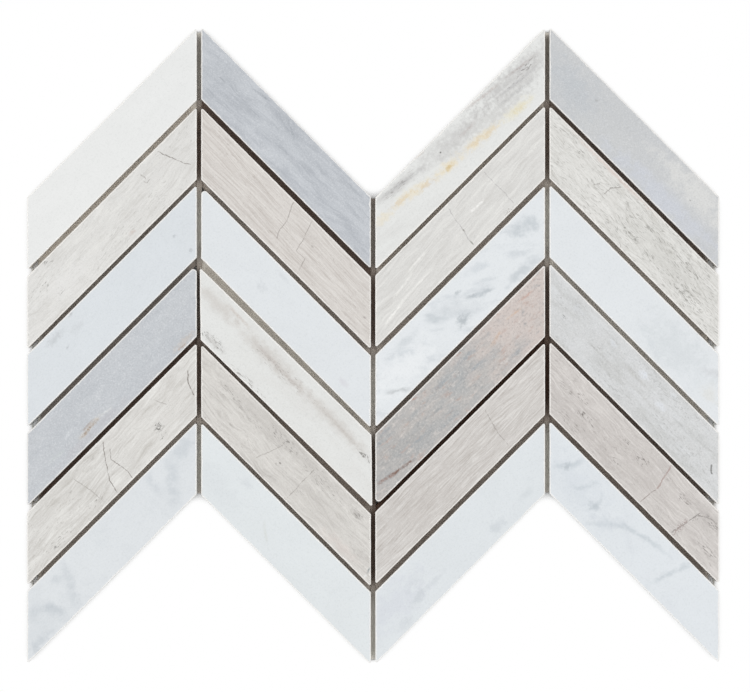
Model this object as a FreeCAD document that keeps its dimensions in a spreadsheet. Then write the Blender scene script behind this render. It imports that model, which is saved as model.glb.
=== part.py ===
"""Chevron mosaic sheet: strips of polished stone set edge to edge in zigzag rows on a glass-fibre net.

The sheet lies flat with its polished face up. Origin: on the floor under the middle of the sheet.
X runs along the width, +Y runs up the sheet towards its upper peaks, and +Z comes out of the face.
All lengths are in millimetres and all angles in degrees.

Each stone is a parallelogram. Its two ends stand upright along Y and its two long edges climb at the
slope, up to the right in odd columns and down to the right in even ones, so that neighbouring columns
meet in peaks and valleys. The net is trimmed a little inside the outline of the stones.
"""

import FreeCAD
import Part
import Sketcher
import math
import os

SIZES = [
    ("columns", 4, "columns of stones across the sheet"),
    ("rows", 6, "stones in each column"),
    ("stone_run", 73.2, "width of a stone along X, between its upright ends"),
    ("stone_face", 22.2, "width of a stone across its long edges"),
    ("stone_thick", 9.5, "thickness of the stone"),
    ("slope", 45.0, "climb of the long edges above the X axis"),
    ("joint", 1.8, "open joint between neighbouring stones"),
    ("arris", 0.35, "bevel round the polished face"),
    ("tip_round", 0.25, "rounding inside the bevel at a stone's two sharp corners"),
    ("heel_round", 0.55, "rounding inside the bevel at a stone's two blunt corners"),
    ("worn_round", 1.2, "rounding inside the bevel at a sharp corner that has lost its point"),
    ("net_thick", 0.5, "thickness of the net under the stones"),
    ("net_yarn", 0.8, "width of a yarn of the net"),
    ("net_cell", 7.5, "spacing of the yarns, rounded to fit each column"),
    ("net_inset", 1.5, "how far the net is trimmed inside the outline of the stones"),
]

# Which sharp corner of a stone is worn: (column, row from the top) to the end that it is at.
WORN_TIPS = {(1, 4): "right", (2, 3): "left", (3, 4): "left"}

# How far a column was set off its line up the sheet, as a share of the joint.
COLUMN_DRIFT = {2: -0.2, 4: 0.2}

# Stones that were set a little off within their column, as shares of the joint:
# (column, row from the top) to the slip up the sheet and the lift of the right end over the left.
HAND_SET = {
    (1, 2): (-0.1, 0.0),
    (1, 3): (0.1, 0.0),
    (2, 1): (0.4, 0.0),
    (2, 2): (0.05, 0.0),
    (2, 3): (0.05, 0.0),
    (2, 4): (-0.3, 0.5),
    (2, 5): (-0.15, 0.0),
    (3, 2): (0.2, 0.0),
    (3, 5): (0.15, 0.0),
    (4, 5): (0.15, 0.0),
}


def make_sizes(doc):
    """The spreadsheet of driving dimensions, one row each: name, value and what it is."""
    sheet = doc.addObject("Spreadsheet::Sheet", "Sizes")
    for row, (alias, value, meaning) in enumerate(SIZES, start=1):
        sheet.set(f"A{row}", alias)
        sheet.set(f"B{row}", str(value))
        sheet.setAlias(f"B{row}", alias)
        sheet.set(f"C{row}", meaning)
    doc.recompute()
    return sheet


def plane_of(body, role):
    """One of a body's own origin planes."""
    return next(plane for plane in body.Origin.OriginFeatures if plane.Role == role)


def stone_sketch(body, name, climbs):
    """The stone's outline, centred on the body's origin, its right end higher if it climbs."""
    sketch = body.newObject("Sketcher::SketchObject", f"{name}_outline")
    sketch.AttachmentSupport = [(plane_of(body, "XY_Plane"), "")]
    sketch.MapMode = "FlatFace"
    lift = 30.0 if climbs else -30.0
    corners = [(-35.0, -15.0 - lift), (35.0, -15.0 + lift), (35.0, 15.0 + lift), (-35.0, 15.0 - lift)]
    points = [FreeCAD.Vector(x, y, 0) for x, y in corners]
    for start, end in zip(points, points[1:] + points[:1]):
        sketch.addGeometry(Part.LineSegment(start, end), False)
    bottom, right, top, left = range(4)
    start_of, end_of, origin = 1, 2, (-1, 1)
    for line, following in zip((bottom, right, top, left), (right, top, left, bottom)):
        sketch.addConstraint(Sketcher.Constraint("Coincident", line, end_of, following, start_of))
    sketch.addConstraint(Sketcher.Constraint("Vertical", left))
    sketch.addConstraint(Sketcher.Constraint("Symmetric", bottom, start_of, top, start_of, *origin))
    sketch.addConstraint(Sketcher.Constraint("Symmetric", bottom, end_of, left, start_of, *origin))
    low, high = (start_of, end_of) if climbs else (end_of, start_of)
    named = [
        ("run", Sketcher.Constraint("DistanceX", bottom, start_of, bottom, end_of, 70.0), "Sizes.stone_run"),
        (
            "end_height",
            Sketcher.Constraint("DistanceY", left, end_of, left, start_of, 30.0),
            "Sizes.stone_face / cos(Sizes.slope)",
        ),
        (
            "climb",
            Sketcher.Constraint("DistanceY", bottom, low, bottom, high, 60.0),
            "Sizes.stone_run * tan(Sizes.slope)",
        ),
    ]
    for label, constraint, formula in named:
        index = sketch.addConstraint(constraint)
        sketch.renameConstraint(index, label)
        sketch.setExpression(f"Constraints.{label}", formula)
    return sketch


def upright_edges(shape, wanted):
    """Names of the shape's edges along Z whose (x, y) passes the test."""
    found = []
    for number, edge in enumerate(shape.Edges, start=1):
        a, b = edge.Vertexes[0].Point, edge.Vertexes[-1].Point
        upright = math.hypot(a.x - b.x, a.y - b.y) < 1e-6 and abs(a.z - b.z) > 1e-3
        if upright and wanted(a.x, a.y):
            found.append(f"Edge{number}")
    return found


def round_corners(doc, body, base, name, wanted, size):
    """A fillet on those upright corners, wide enough to leave the named rounding inside the bevel."""
    fillet = body.newObject("PartDesign::Fillet", name)
    fillet.Base = (base, upright_edges(base.Shape, wanted))
    fillet.setExpression("Radius", f"Sizes.arris + Sizes.{size}")
    doc.recompute()
    return fillet


def bevel_face(doc, body, base, name):
    """The arris: a bevel on every edge of the stone's polished face."""
    top = base.Shape.BoundBox.ZMax
    faces = [
        f"Face{number}"
        for number, face in enumerate(base.Shape.Faces, start=1)
        if face.BoundBox.ZMin > top - 1e-6
    ]
    bevel = body.newObject("PartDesign::Chamfer", name)
    bevel.Base = (base, faces)
    bevel.setExpression("Size", "Sizes.arris")
    doc.recompute()
    return bevel


def place_stone(body, sheet, column, row):
    """Binds the stone's place to the grid of columns and rows, with its slip and turn by hand."""
    across = column - (sheet.columns + 1) / 2
    up = (sheet.rows + 1) / 2 - row
    slip, lift = HAND_SET.get((column, row), (0.0, 0.0))
    slip = round(slip + COLUMN_DRIFT.get(column, 0.0), 3)
    x = f"{across} * (Sizes.stone_run + Sizes.joint)"
    y = f"{up} * (Sizes.stone_face + Sizes.joint) / cos(Sizes.slope) + {slip} * Sizes.joint"
    body.setExpression("Placement.Base.x", x)
    body.setExpression("Placement.Base.y", y)
    body.setExpression("Placement.Base.z", "Sizes.net_thick")
    if lift:
        body.setExpression("Placement.Rotation.Angle", f"atan({lift} * Sizes.joint / Sizes.stone_run)")


def make_stone(doc, sheet, column, row):
    """One strip of stone: its outline padded to the thickness, corners rounded, face bevelled."""
    name = f"stone_column{column}_row{row}"
    climbs = column % 2 == 1
    body = doc.addObject("PartDesign::Body", name)
    body.Label = name
    sketch = stone_sketch(body, name, climbs)
    pad = body.newObject("PartDesign::Pad", f"{name}_slab")
    pad.Profile = sketch
    pad.setExpression("Length", "Sizes.stone_thick")
    doc.recompute()

    # A sharp corner is at the low end's foot or the high end's head, where x and y lean the same way
    # as the climb.
    lean = 1 if climbs else -1
    worn_end = WORN_TIPS.get((column, row))
    worn_side = {"left": -1, "right": 1, None: 0}[worn_end]
    half_run = sheet.stone_run / 2
    climb = half_run * math.tan(math.radians(sheet.slope))

    def is_tip(x, y):
        return abs(y) > climb and x * y * lean > 0

    def is_sound_tip(x, y):
        return is_tip(x, y) and x * worn_side <= 0

    def is_worn_tip(x, y):
        return is_tip(x, y) and x * worn_side > 0

    def is_heel(x, y):
        return abs(x) > half_run - 1e-6 and not is_tip(x, y)

    feature = round_corners(doc, body, pad, f"{name}_heels", is_heel, "heel_round")
    feature = round_corners(doc, body, feature, f"{name}_tips", is_sound_tip, "tip_round")
    if worn_end:
        feature = round_corners(doc, body, feature, f"{name}_worn", is_worn_tip, "worn_round")
    bevel_face(doc, body, feature, f"{name}_arris")
    place_stone(body, sheet, column, row)
    return body


def net_column(sheet, column):
    """The net under one column: its outline with the open cells between the yarns cut out.

    The outline has upright sides and ends that follow the stones' slope. A yarn runs up each side of
    the column, so that every cross yarn is held. Two neighbouring columns share the yarn under their
    joint, half each.
    """
    slope = math.radians(sheet.slope)
    climb = math.tan(slope) * (1 if column % 2 == 1 else -1)
    row_pitch = (sheet.stone_face + sheet.joint) / math.cos(slope)
    end_height = (sheet.stone_face - 2 * sheet.net_inset) / math.cos(slope)
    reach = ((sheet.rows - 1) * row_pitch + end_height) / 2

    column_pitch = sheet.stone_run + sheet.joint
    left = (column - 1 - sheet.columns / 2) * column_pitch
    right = left + column_pitch
    middle = (left + right) / 2
    trim = sheet.joint / 2 + sheet.net_inset
    first, last = left, right
    if column == 1:
        left += trim
        first = left + sheet.net_yarn / 2
    if column == sheet.columns:
        right -= trim
        last = right - sheet.net_yarn / 2

    sides = [(left, -reach), (right, -reach), (right, reach), (left, reach), (left, -reach)]
    points = [FreeCAD.Vector(x, y + (x - middle) * climb, 0) for x, y in sides]
    outline = Part.Face(Part.makePolygon(points))

    cells = max(1, round((last - first) / sheet.net_cell))
    pitch = (last - first) / cells
    width = pitch - sheet.net_yarn
    height = sheet.net_cell - sheet.net_yarn
    holes = []
    for i in range(cells):
        x = first + i * pitch + sheet.net_yarn / 2
        rise = (x + width / 2 - middle) * climb
        slack = width / 2 * abs(climb) + sheet.net_cell
        for j in range(math.floor((rise - reach - slack) / sheet.net_cell),
                       math.ceil((rise + reach + slack) / sheet.net_cell)):
            corner = FreeCAD.Vector(x, j * sheet.net_cell + sheet.net_yarn / 2, 0)
            holes.append(Part.makePlane(width, height, corner))
    return outline.cut(Part.makeCompound(holes)).extrude(FreeCAD.Vector(0, 0, sheet.net_thick))


def make_net(doc, sheet, column):
    """The node for one column's stretch of the net."""
    name = f"net_column{column}"
    net = doc.addObject("Part::Feature", name)
    net.Label = name
    net.Shape = net_column(sheet, column)
    return net


def check(parts):
    """Stops the build if a sub-part failed to compute or isn't one sound closed solid."""
    for doc_object in FreeCAD.ActiveDocument.Objects:
        failed = {"Invalid", "Error"} & set(doc_object.State)
        if failed:
            raise RuntimeError(f"{doc_object.Label} is {failed}")
    for part in parts:
        if part.Shape.isNull() or not part.Shape.isValid() or len(part.Shape.Solids) != 1:
            raise RuntimeError(f"{part.Label} isn't one valid solid")


def main():
    """Builds the sheet of sizes, the stones and the net, and writes one STEP file for each."""
    doc = FreeCAD.newDocument("chevron_mosaic_sheet")
    sheet = make_sizes(doc)
    stones = [
        make_stone(doc, sheet, column, row)
        for column in range(1, sheet.columns + 1)
        for row in range(1, sheet.rows + 1)
    ]
    nets = [make_net(doc, sheet, column) for column in range(1, sheet.columns + 1)]
    doc.recompute()
    parts = stones + nets
    check(parts)
    os.makedirs("parts", exist_ok=True)
    for part in parts:
        part.Shape.exportStep(f"parts/{part.Label}.step")
        print(part.Label, round(part.Shape.Volume, 1), len(part.Shape.Faces))


main()
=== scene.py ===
"""Looks of the chevron mosaic sheet: polished strips of stone in zigzag rows on a glass-fibre net.

The sheet lies flat with its polished face up: origin on the floor under the middle of the sheet, X
across the columns, +Y up the sheet towards its upper peaks and +Z out of the face. Meshes are in
metres. The finishes work in millimetres in each stone's own frame: u runs along the strip to the
right, v across it towards its upper edge and w up from the floor.
"""

import logging
import math
from dataclasses import dataclass
from enum import Enum
from typing import Optional, Union

import bpy
import numpy as np
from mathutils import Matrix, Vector


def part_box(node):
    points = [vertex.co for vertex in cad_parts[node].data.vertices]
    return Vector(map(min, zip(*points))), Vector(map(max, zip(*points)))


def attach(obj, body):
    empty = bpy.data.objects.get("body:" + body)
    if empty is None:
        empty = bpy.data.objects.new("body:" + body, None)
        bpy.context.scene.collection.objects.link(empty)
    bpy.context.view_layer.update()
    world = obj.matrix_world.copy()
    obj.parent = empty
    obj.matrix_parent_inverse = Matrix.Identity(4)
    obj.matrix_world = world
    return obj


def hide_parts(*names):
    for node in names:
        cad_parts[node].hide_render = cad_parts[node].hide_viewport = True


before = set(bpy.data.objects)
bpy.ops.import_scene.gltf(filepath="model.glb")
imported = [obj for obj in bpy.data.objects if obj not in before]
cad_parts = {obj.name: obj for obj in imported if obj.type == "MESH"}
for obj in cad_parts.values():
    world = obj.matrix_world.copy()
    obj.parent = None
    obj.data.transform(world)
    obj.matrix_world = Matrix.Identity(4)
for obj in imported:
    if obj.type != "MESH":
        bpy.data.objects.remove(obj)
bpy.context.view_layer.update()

log = logging.getLogger("chevron_sheet")

MM = 0.001
Colour = tuple[float, float, float]
Pixel = tuple[float, float]
Spot = tuple[float, float]


def srgb(red: float, green: float, blue: float) -> Colour:
    """A colour as a screen shows it, turned into the linear values that shaders use.

    A channel c becomes c / 255 / 12.92 where c / 255 is at most 0.04045, and otherwise
    ((c / 255 + 0.055) / 1.055) ** 2.4.

    Args:
        red: the red channel, 0 to 255.
        green: the green channel, 0 to 255.
        blue: the blue channel, 0 to 255.

    Returns:
        The linear colour, 0 to 1.
    """
    shares = [channel / 255 for channel in (red, green, blue)]
    linear = [s / 12.92 if s <= 0.04045 else ((s + 0.055) / 1.055) ** 2.4 for s in shares]
    return (linear[0], linear[1], linear[2])


def dimmed(colour: Colour, share: float) -> Colour:
    """The linear colour with every channel multiplied by the share."""
    return (colour[0] * share, colour[1] * share, colour[2] * share)


@dataclass(frozen=True)
class PhotoScale:
    """How the photograph's pixels lie on the sheet's face, which it shows squarely from the front."""

    width_px: int = 750
    height_px: int = 692
    sheet_middle_px: Pixel = (373.1, 345.9)
    mm_per_px: float = 0.4306

    def place_mm(self, pixel: Pixel) -> tuple[float, float]:
        """The spot of the face that a pixel shows, in millimetres from the sheet's middle."""
        across = (pixel[0] - self.sheet_middle_px[0]) * self.mm_per_px
        up = (self.sheet_middle_px[1] - pixel[1]) * self.mm_per_px
        return across, up

    def view_width(self) -> float:
        """The width of the face's plane that the photograph takes in, in metres."""
        return self.width_px * self.mm_per_px * MM


PHOTO = PhotoScale()


# Shader graphs


class Term:
    """One number of a shader graph, with the arithmetic of a plain number."""

    def __init__(self, graph: "Graph", socket: bpy.types.NodeSocket) -> None:
        """Wraps a socket of the graph."""
        self.graph = graph
        self.socket = socket

    def __add__(self, other: "Number") -> "Term":
        """self + other."""
        return self.graph.math("ADD", self, other)

    def __radd__(self, other: "Number") -> "Term":
        """other + self."""
        return self.graph.math("ADD", other, self)

    def __sub__(self, other: "Number") -> "Term":
        """self - other."""
        return self.graph.math("SUBTRACT", self, other)

    def __rsub__(self, other: "Number") -> "Term":
        """other - self."""
        return self.graph.math("SUBTRACT", other, self)

    def __mul__(self, other: "Number") -> "Term":
        """self * other."""
        return self.graph.math("MULTIPLY", self, other)

    def __rmul__(self, other: "Number") -> "Term":
        """other * self."""
        return self.graph.math("MULTIPLY", other, self)

    def __truediv__(self, other: "Number") -> "Term":
        """self / other."""
        return self.graph.math("DIVIDE", self, other)

    def __abs__(self) -> "Term":
        """The size of self without its sign."""
        return self.graph.math("ABSOLUTE", self)


Number = Union[Term, float, int]
Link = Union[Term, bpy.types.NodeSocket, float, int, tuple]


class Graph:
    """The node tree of a material or world, with short ways to add what the finishes use."""

    def __init__(self, owner: Union[bpy.types.Material, bpy.types.World]) -> None:
        """Empties the owner's node tree.

        Args:
            owner: the material or world.
        """
        owner.use_nodes = True
        self.owner = owner
        self.tree = owner.node_tree
        self.tree.nodes.clear()

    def node(
        self,
        kind: str,
        settings: Optional[dict] = None,
        inputs: Optional[dict[Union[str, int], Link]] = None,
    ) -> bpy.types.Node:
        """Adds any node.

        Args:
            kind: the node's type.
            settings: its properties, which are set first.
            inputs: a value or a link for each socket, by identifier, name or number.

        Returns:
            The new node.
        """
        node = self.tree.nodes.new(kind)
        for key, value in (settings or {}).items():
            setattr(node, key, value)
        by_identifier = {socket.identifier: socket for socket in node.inputs}
        for key, value in (inputs or {}).items():
            socket = by_identifier[key] if key in by_identifier else node.inputs[key]
            if isinstance(value, Term):
                value = value.socket
            if isinstance(value, bpy.types.NodeSocket):
                self.tree.links.new(value, socket)
            elif socket.type == "RGBA" and len(value) == 3:
                socket.default_value = (*value, 1.0)
            else:
                socket.default_value = value
        return node

    def math(self, operation: str, *values: Number) -> Term:
        """One Math node on up to three numbers."""
        node = self.node("ShaderNodeMath", {"operation": operation}, dict(enumerate(values)))
        return Term(self, node.outputs[0])

    def smooth(self, value: Number, low: float, high: float) -> Term:
        """A smooth step of the value: 0 at low, 1 at high and an S between them, either way round."""
        node = self.node(
            "ShaderNodeMapRange",
            {"interpolation_type": "SMOOTHSTEP", "clamp": True},
            {"Value": value, "From Min": low, "From Max": high, "To Min": 0.0, "To Max": 1.0},
        )
        return Term(self, node.outputs["Result"])

    def mix(self, amount: Number, first: Link, second: Link, blend: str = "MIX") -> bpy.types.NodeSocket:
        """A colour between two colours: first where amount is 0, and second where it is 1."""
        node = self.node(
            "ShaderNodeMix",
            {"data_type": "RGBA", "blend_type": blend, "clamp_factor": True},
            {"Factor_Float": amount, "A_Color": first, "B_Color": second},
        )
        return next(socket for socket in node.outputs if socket.identifier == "Result_Color")

    def frame_of(
        self,
        vector: Link,
        origin: tuple[float, float, float],
        angle: float = 0.0,
        unit: tuple[float, float, float] = (1.0, 1.0, 1.0),
    ) -> bpy.types.NodeSocket:
        """A place seen from a frame of its own: taken from the origin, turned back and divided.

        Args:
            vector: the place.
            origin: the new frame's origin.
            angle: how far the new frame is turned about the third axis, in radians.
            unit: the length of one unit along each of the new frame's axes.

        Returns:
            The place in the new frame.
        """
        node = self.node(
            "ShaderNodeMapping",
            {"vector_type": "TEXTURE"},
            {"Vector": vector, "Location": origin, "Rotation": (0.0, 0.0, angle), "Scale": unit},
        )
        return node.outputs["Vector"]

    def split(self, vector: Link) -> tuple[Term, Term, Term]:
        """The three coordinates of a vector."""
        node = self.node("ShaderNodeSeparateXYZ", {}, {0: vector})
        return Term(self, node.outputs[0]), Term(self, node.outputs[1]), Term(self, node.outputs[2])

    def join(self, x: Number, y: Number, z: Number) -> bpy.types.NodeSocket:
        """A vector of three coordinates."""
        return self.node("ShaderNodeCombineXYZ", {}, {0: x, 1: y, 2: z}).outputs[0]

    def length(self, vector: Link) -> Term:
        """The length of a vector."""
        node = self.node("ShaderNodeVectorMath", {"operation": "LENGTH"}, {0: vector})
        return Term(self, node.outputs["Value"])

    def noise(self, vector: Link, size: float = 1.0, detail: float = 2.0, roughness: float = 0.5) -> Term:
        """Cloudy noise, mostly between -0.25 and 0.25.

        Args:
            vector: the place.
            size: the width of the largest features, in the place's units.
            detail: how many finer layers are added.
            roughness: how strong each finer layer is beside the one before.

        Returns:
            The noise, centred on zero.
        """
        node = self.node(
            "ShaderNodeTexNoise",
            {"noise_dimensions": "3D"},
            {"Vector": vector, "Scale": 1.0 / size, "Detail": detail, "Roughness": roughness},
        )
        return Term(self, node.outputs[0]) - 0.5

    def curve(self, value: Number, points: list[tuple[float, float]], handle: str = "VECTOR") -> Term:
        """A line through the points, read at the value: broken, or smooth where the handle is AUTO."""
        node = self.node("ShaderNodeFloatCurve", {}, {"Value": value})
        line = node.mapping.curves[0]
        line.points[0].location = points[0]
        line.points[-1].location = points[-1]
        for x, y in points[1:-1]:
            line.points.new(x, y)
        for point in line.points:
            point.handle_type = handle
        node.mapping.update()
        return Term(self, node.outputs[0])

    def bump(self, height: Number, strength: float, distance: float) -> bpy.types.NodeSocket:
        """The surface's normal, tilted by a height."""
        node = self.node("ShaderNodeBump", {}, {"Strength": strength, "Distance": distance, "Height": height})
        return node.outputs["Normal"]

    def mark(self) -> Term:
        """The number that the piece's mesh holds at each point."""
        node = self.node("ShaderNodeAttribute", {"attribute_name": "mark"})
        return Term(self, node.outputs["Fac"])

    def millimetres(self) -> bpy.types.NodeSocket:
        """The place on the sheet in millimetres."""
        place = self.node("ShaderNodeTexCoord").outputs["Object"]
        return self.frame_of(place, (0.0, 0.0, 0.0), 0.0, (MM, MM, MM))

    def surface(self, colour: Link, roughness: Link, normal: Link, gleam: float = 0.5) -> bpy.types.Material:
        """Ends the graph in a Principled surface with that colour, roughness, normal and mirror level."""
        inputs = {"Base Color": colour, "Roughness": roughness, "Normal": normal}
        inputs["Specular IOR Level"] = gleam
        shader = self.node("ShaderNodeBsdfPrincipled", {}, inputs)
        self.node("ShaderNodeOutputMaterial", {}, {"Surface": shader.outputs[0]})
        return self.owner


# Meshes


class Tubes:
    """Closed shapes, each a stack of rings of points, that become one piece.

    A ring runs anticlockwise as seen against the direction in which the rings follow each other, so
    that the faces between two rings point outwards. The first and last rings are closed by flat caps.
    """

    def __init__(self) -> None:
        """Starts with no shape."""
        self.points: list[np.ndarray] = []
        self.quads: list[np.ndarray] = []
        self.caps: list[np.ndarray] = []
        self.marks: list[np.ndarray] = []
        self.count = 0

    def add(self, rings: np.ndarray, mark: Union[np.ndarray, float] = 0.0) -> None:
        """Adds one closed shape.

        The face at ring i and place j joins (i, j), (i + 1, j), (i + 1, j + 1) and (i, j + 1), and the
        last place of a ring joins its first.

        Args:
            rings: an array of ring, place and x, y, z, in metres.
            mark: a number for each ring, which the finish may read.
        """
        many, around = rings.shape[:2]
        i = np.arange(many - 1)[:, None]
        j = np.arange(around)[None, :]
        after = (j + 1) % around
        corners = [i * around + j, (i + 1) * around + j, (i + 1) * around + after, i * around + after]
        self.quads.append(self.count + np.stack(corners, axis=-1).reshape(-1, 4))
        self.caps.append(self.count + np.arange(around))
        self.caps.append(self.count + (many - 1) * around + np.arange(around)[::-1])
        self.points.append(rings.reshape(-1, 3))
        self.marks.append(np.repeat(np.broadcast_to(mark, many), around))
        self.count += many * around

    def piece(self, name: str, sharp: float, material: bpy.types.Material) -> bpy.types.Object:
        """Makes the object, riding on the sheet's one body.

        Args:
            name: the object's name.
            sharp: the angle, in degrees, past which an edge looks sharp.
            material: its finish.

        Returns:
            The object.
        """
        quads = np.concatenate(self.quads)
        sizes = np.concatenate([np.full(len(quads), 4), [len(cap) for cap in self.caps]])
        starts = np.concatenate([[0], np.cumsum(sizes)[:-1]])
        corners = np.concatenate([quads.ravel(), *self.caps])
        mesh = bpy.data.meshes.new(name)
        mesh.vertices.add(self.count)
        mesh.vertices.foreach_set("co", np.concatenate(self.points).astype(np.float32).ravel())
        mesh.loops.add(len(corners))
        mesh.loops.foreach_set("vertex_index", corners.astype(np.int32))
        mesh.polygons.add(len(sizes))
        mesh.polygons.foreach_set("loop_start", starts.astype(np.int32))
        mesh.polygons.foreach_set("use_smooth", np.arange(len(sizes)) < len(quads))
        mesh.update(calc_edges=True)
        mesh.set_sharp_from_angle(angle=math.radians(sharp))
        mark = mesh.attributes.new("mark", "FLOAT", "POINT")
        mark.data.foreach_set("value", np.concatenate(self.marks).astype(np.float32))
        mesh.materials.append(material)
        piece = bpy.data.objects.new(name, mesh)
        bpy.context.scene.collection.objects.link(piece)
        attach(piece, "root")
        log.info("%s: %d triangles", name, int(np.sum(sizes - 2)))
        return piece


def ripple(way: np.ndarray, around: float, turns: np.ndarray, phases: np.ndarray) -> np.ndarray:
    """Unevenness that closes on itself: a sum of sines that fit a whole number of times around.

    Each sine is divided by the root of its number of turns, so that fine waves are shallow, and the
    sum is divided by the root of half the sum of those squares, so that it is about 1 high.

    Args:
        way: how far round each point lies.
        around: the distance all the way round.
        turns: how many times each sine fits.
        phases: where each sine starts, in radians.

    Returns:
        The unevenness at each point, centred on zero.
    """
    waves = np.sin(2 * math.pi * way[:, None] / around * turns + phases) / np.sqrt(turns)
    return waves.sum(axis=1) / math.sqrt(np.sum(0.5 / turns))


# The sheet's pattern


def column_direction(column: int) -> int:
    """1 where the column's stones climb to the right, and -1 where they fall."""
    return 1 if column % 2 == 1 else -1


@dataclass(frozen=True)
class Layout:
    """The sheet's pattern and the sizes of its pieces. Lengths are in metres."""

    run: float
    column_pitch: float
    net_thick: float
    top: float
    columns: int = 4
    rows: int = 6
    face: float = 22.2 * MM
    slope: float = math.radians(45.0)
    net_yarn: float = 0.8 * MM
    net_cell: float = 7.5 * MM
    net_inset: float = 1.5 * MM

    @classmethod
    def from_frame(cls) -> "Layout":
        """Reads the run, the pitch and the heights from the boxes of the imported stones."""
        low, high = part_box("stone_column1_row1")
        next_low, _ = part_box("stone_column2_row1")
        return cls(run=high.x - low.x, column_pitch=next_low.x - low.x, net_thick=low.z, top=high.z)

    def joint(self) -> float:
        """The open joint between neighbouring stones."""
        return self.column_pitch - self.run

    def row_pitch(self) -> float:
        """The distance up the sheet between neighbouring stones of a column."""
        return (self.face + self.joint()) / math.cos(self.slope)

    def end_height(self) -> float:
        """The height of a stone's upright end."""
        return self.face / math.cos(self.slope)

    def climb(self) -> float:
        """How much higher one end of a stone is than the other."""
        return self.run * math.tan(self.slope)

    def column_middle(self, column: int) -> float:
        """Where the middle of a column is across the sheet."""
        return (column - (self.columns + 1) / 2) * self.column_pitch

    def row_middle(self, row: int) -> float:
        """Where the middle of a row of stones is up the sheet."""
        return ((self.rows + 1) / 2 - row) * self.row_pitch()


LAYOUT = Layout.from_frame()

# How far a column was set off its line up the sheet, as a share of the joint.
COLUMN_DRIFT = {2: -0.2, 4: 0.2}


class Worn(Enum):
    """The end of a stone at which its sharp corner is worn."""

    NEITHER = "neither"
    LEFT = "left"
    RIGHT = "right"


@dataclass(frozen=True)
class Edges:
    """How the stones' corners are rounded and their edges have worn.

    Lengths are in metres, and the chips' reach in millimetres. The number of chips and the turns of
    a wave stay below their second value.
    """

    bevel: float = 0.35 * MM
    tip_radius: float = 0.6 * MM
    heel_radius: float = 0.9 * MM
    worn_radius: float = 1.55 * MM
    least_radius: float = 0.01 * MM
    lip: float = 0.25 * MM
    back_bevel: float = 0.15 * MM
    uneven: float = 0.018 * MM
    spacing: float = 0.45 * MM
    arc_points: int = 9
    bevel_rings: int = 7
    side_levels: tuple[float, float] = (0.65, 0.35)
    sharp_past: float = 40.0
    waves: int = 8
    wave_turns: tuple[int, int] = (7, 120)
    bevel_wave: float = 0.14
    least_bevel: float = 0.5
    chips: tuple[int, int] = (5, 11)
    chip_reach_mm: tuple[float, float] = (0.5, 1.4)
    chip_depth: tuple[float, float] = (0.1, 0.22)


EDGES = Edges()


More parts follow.
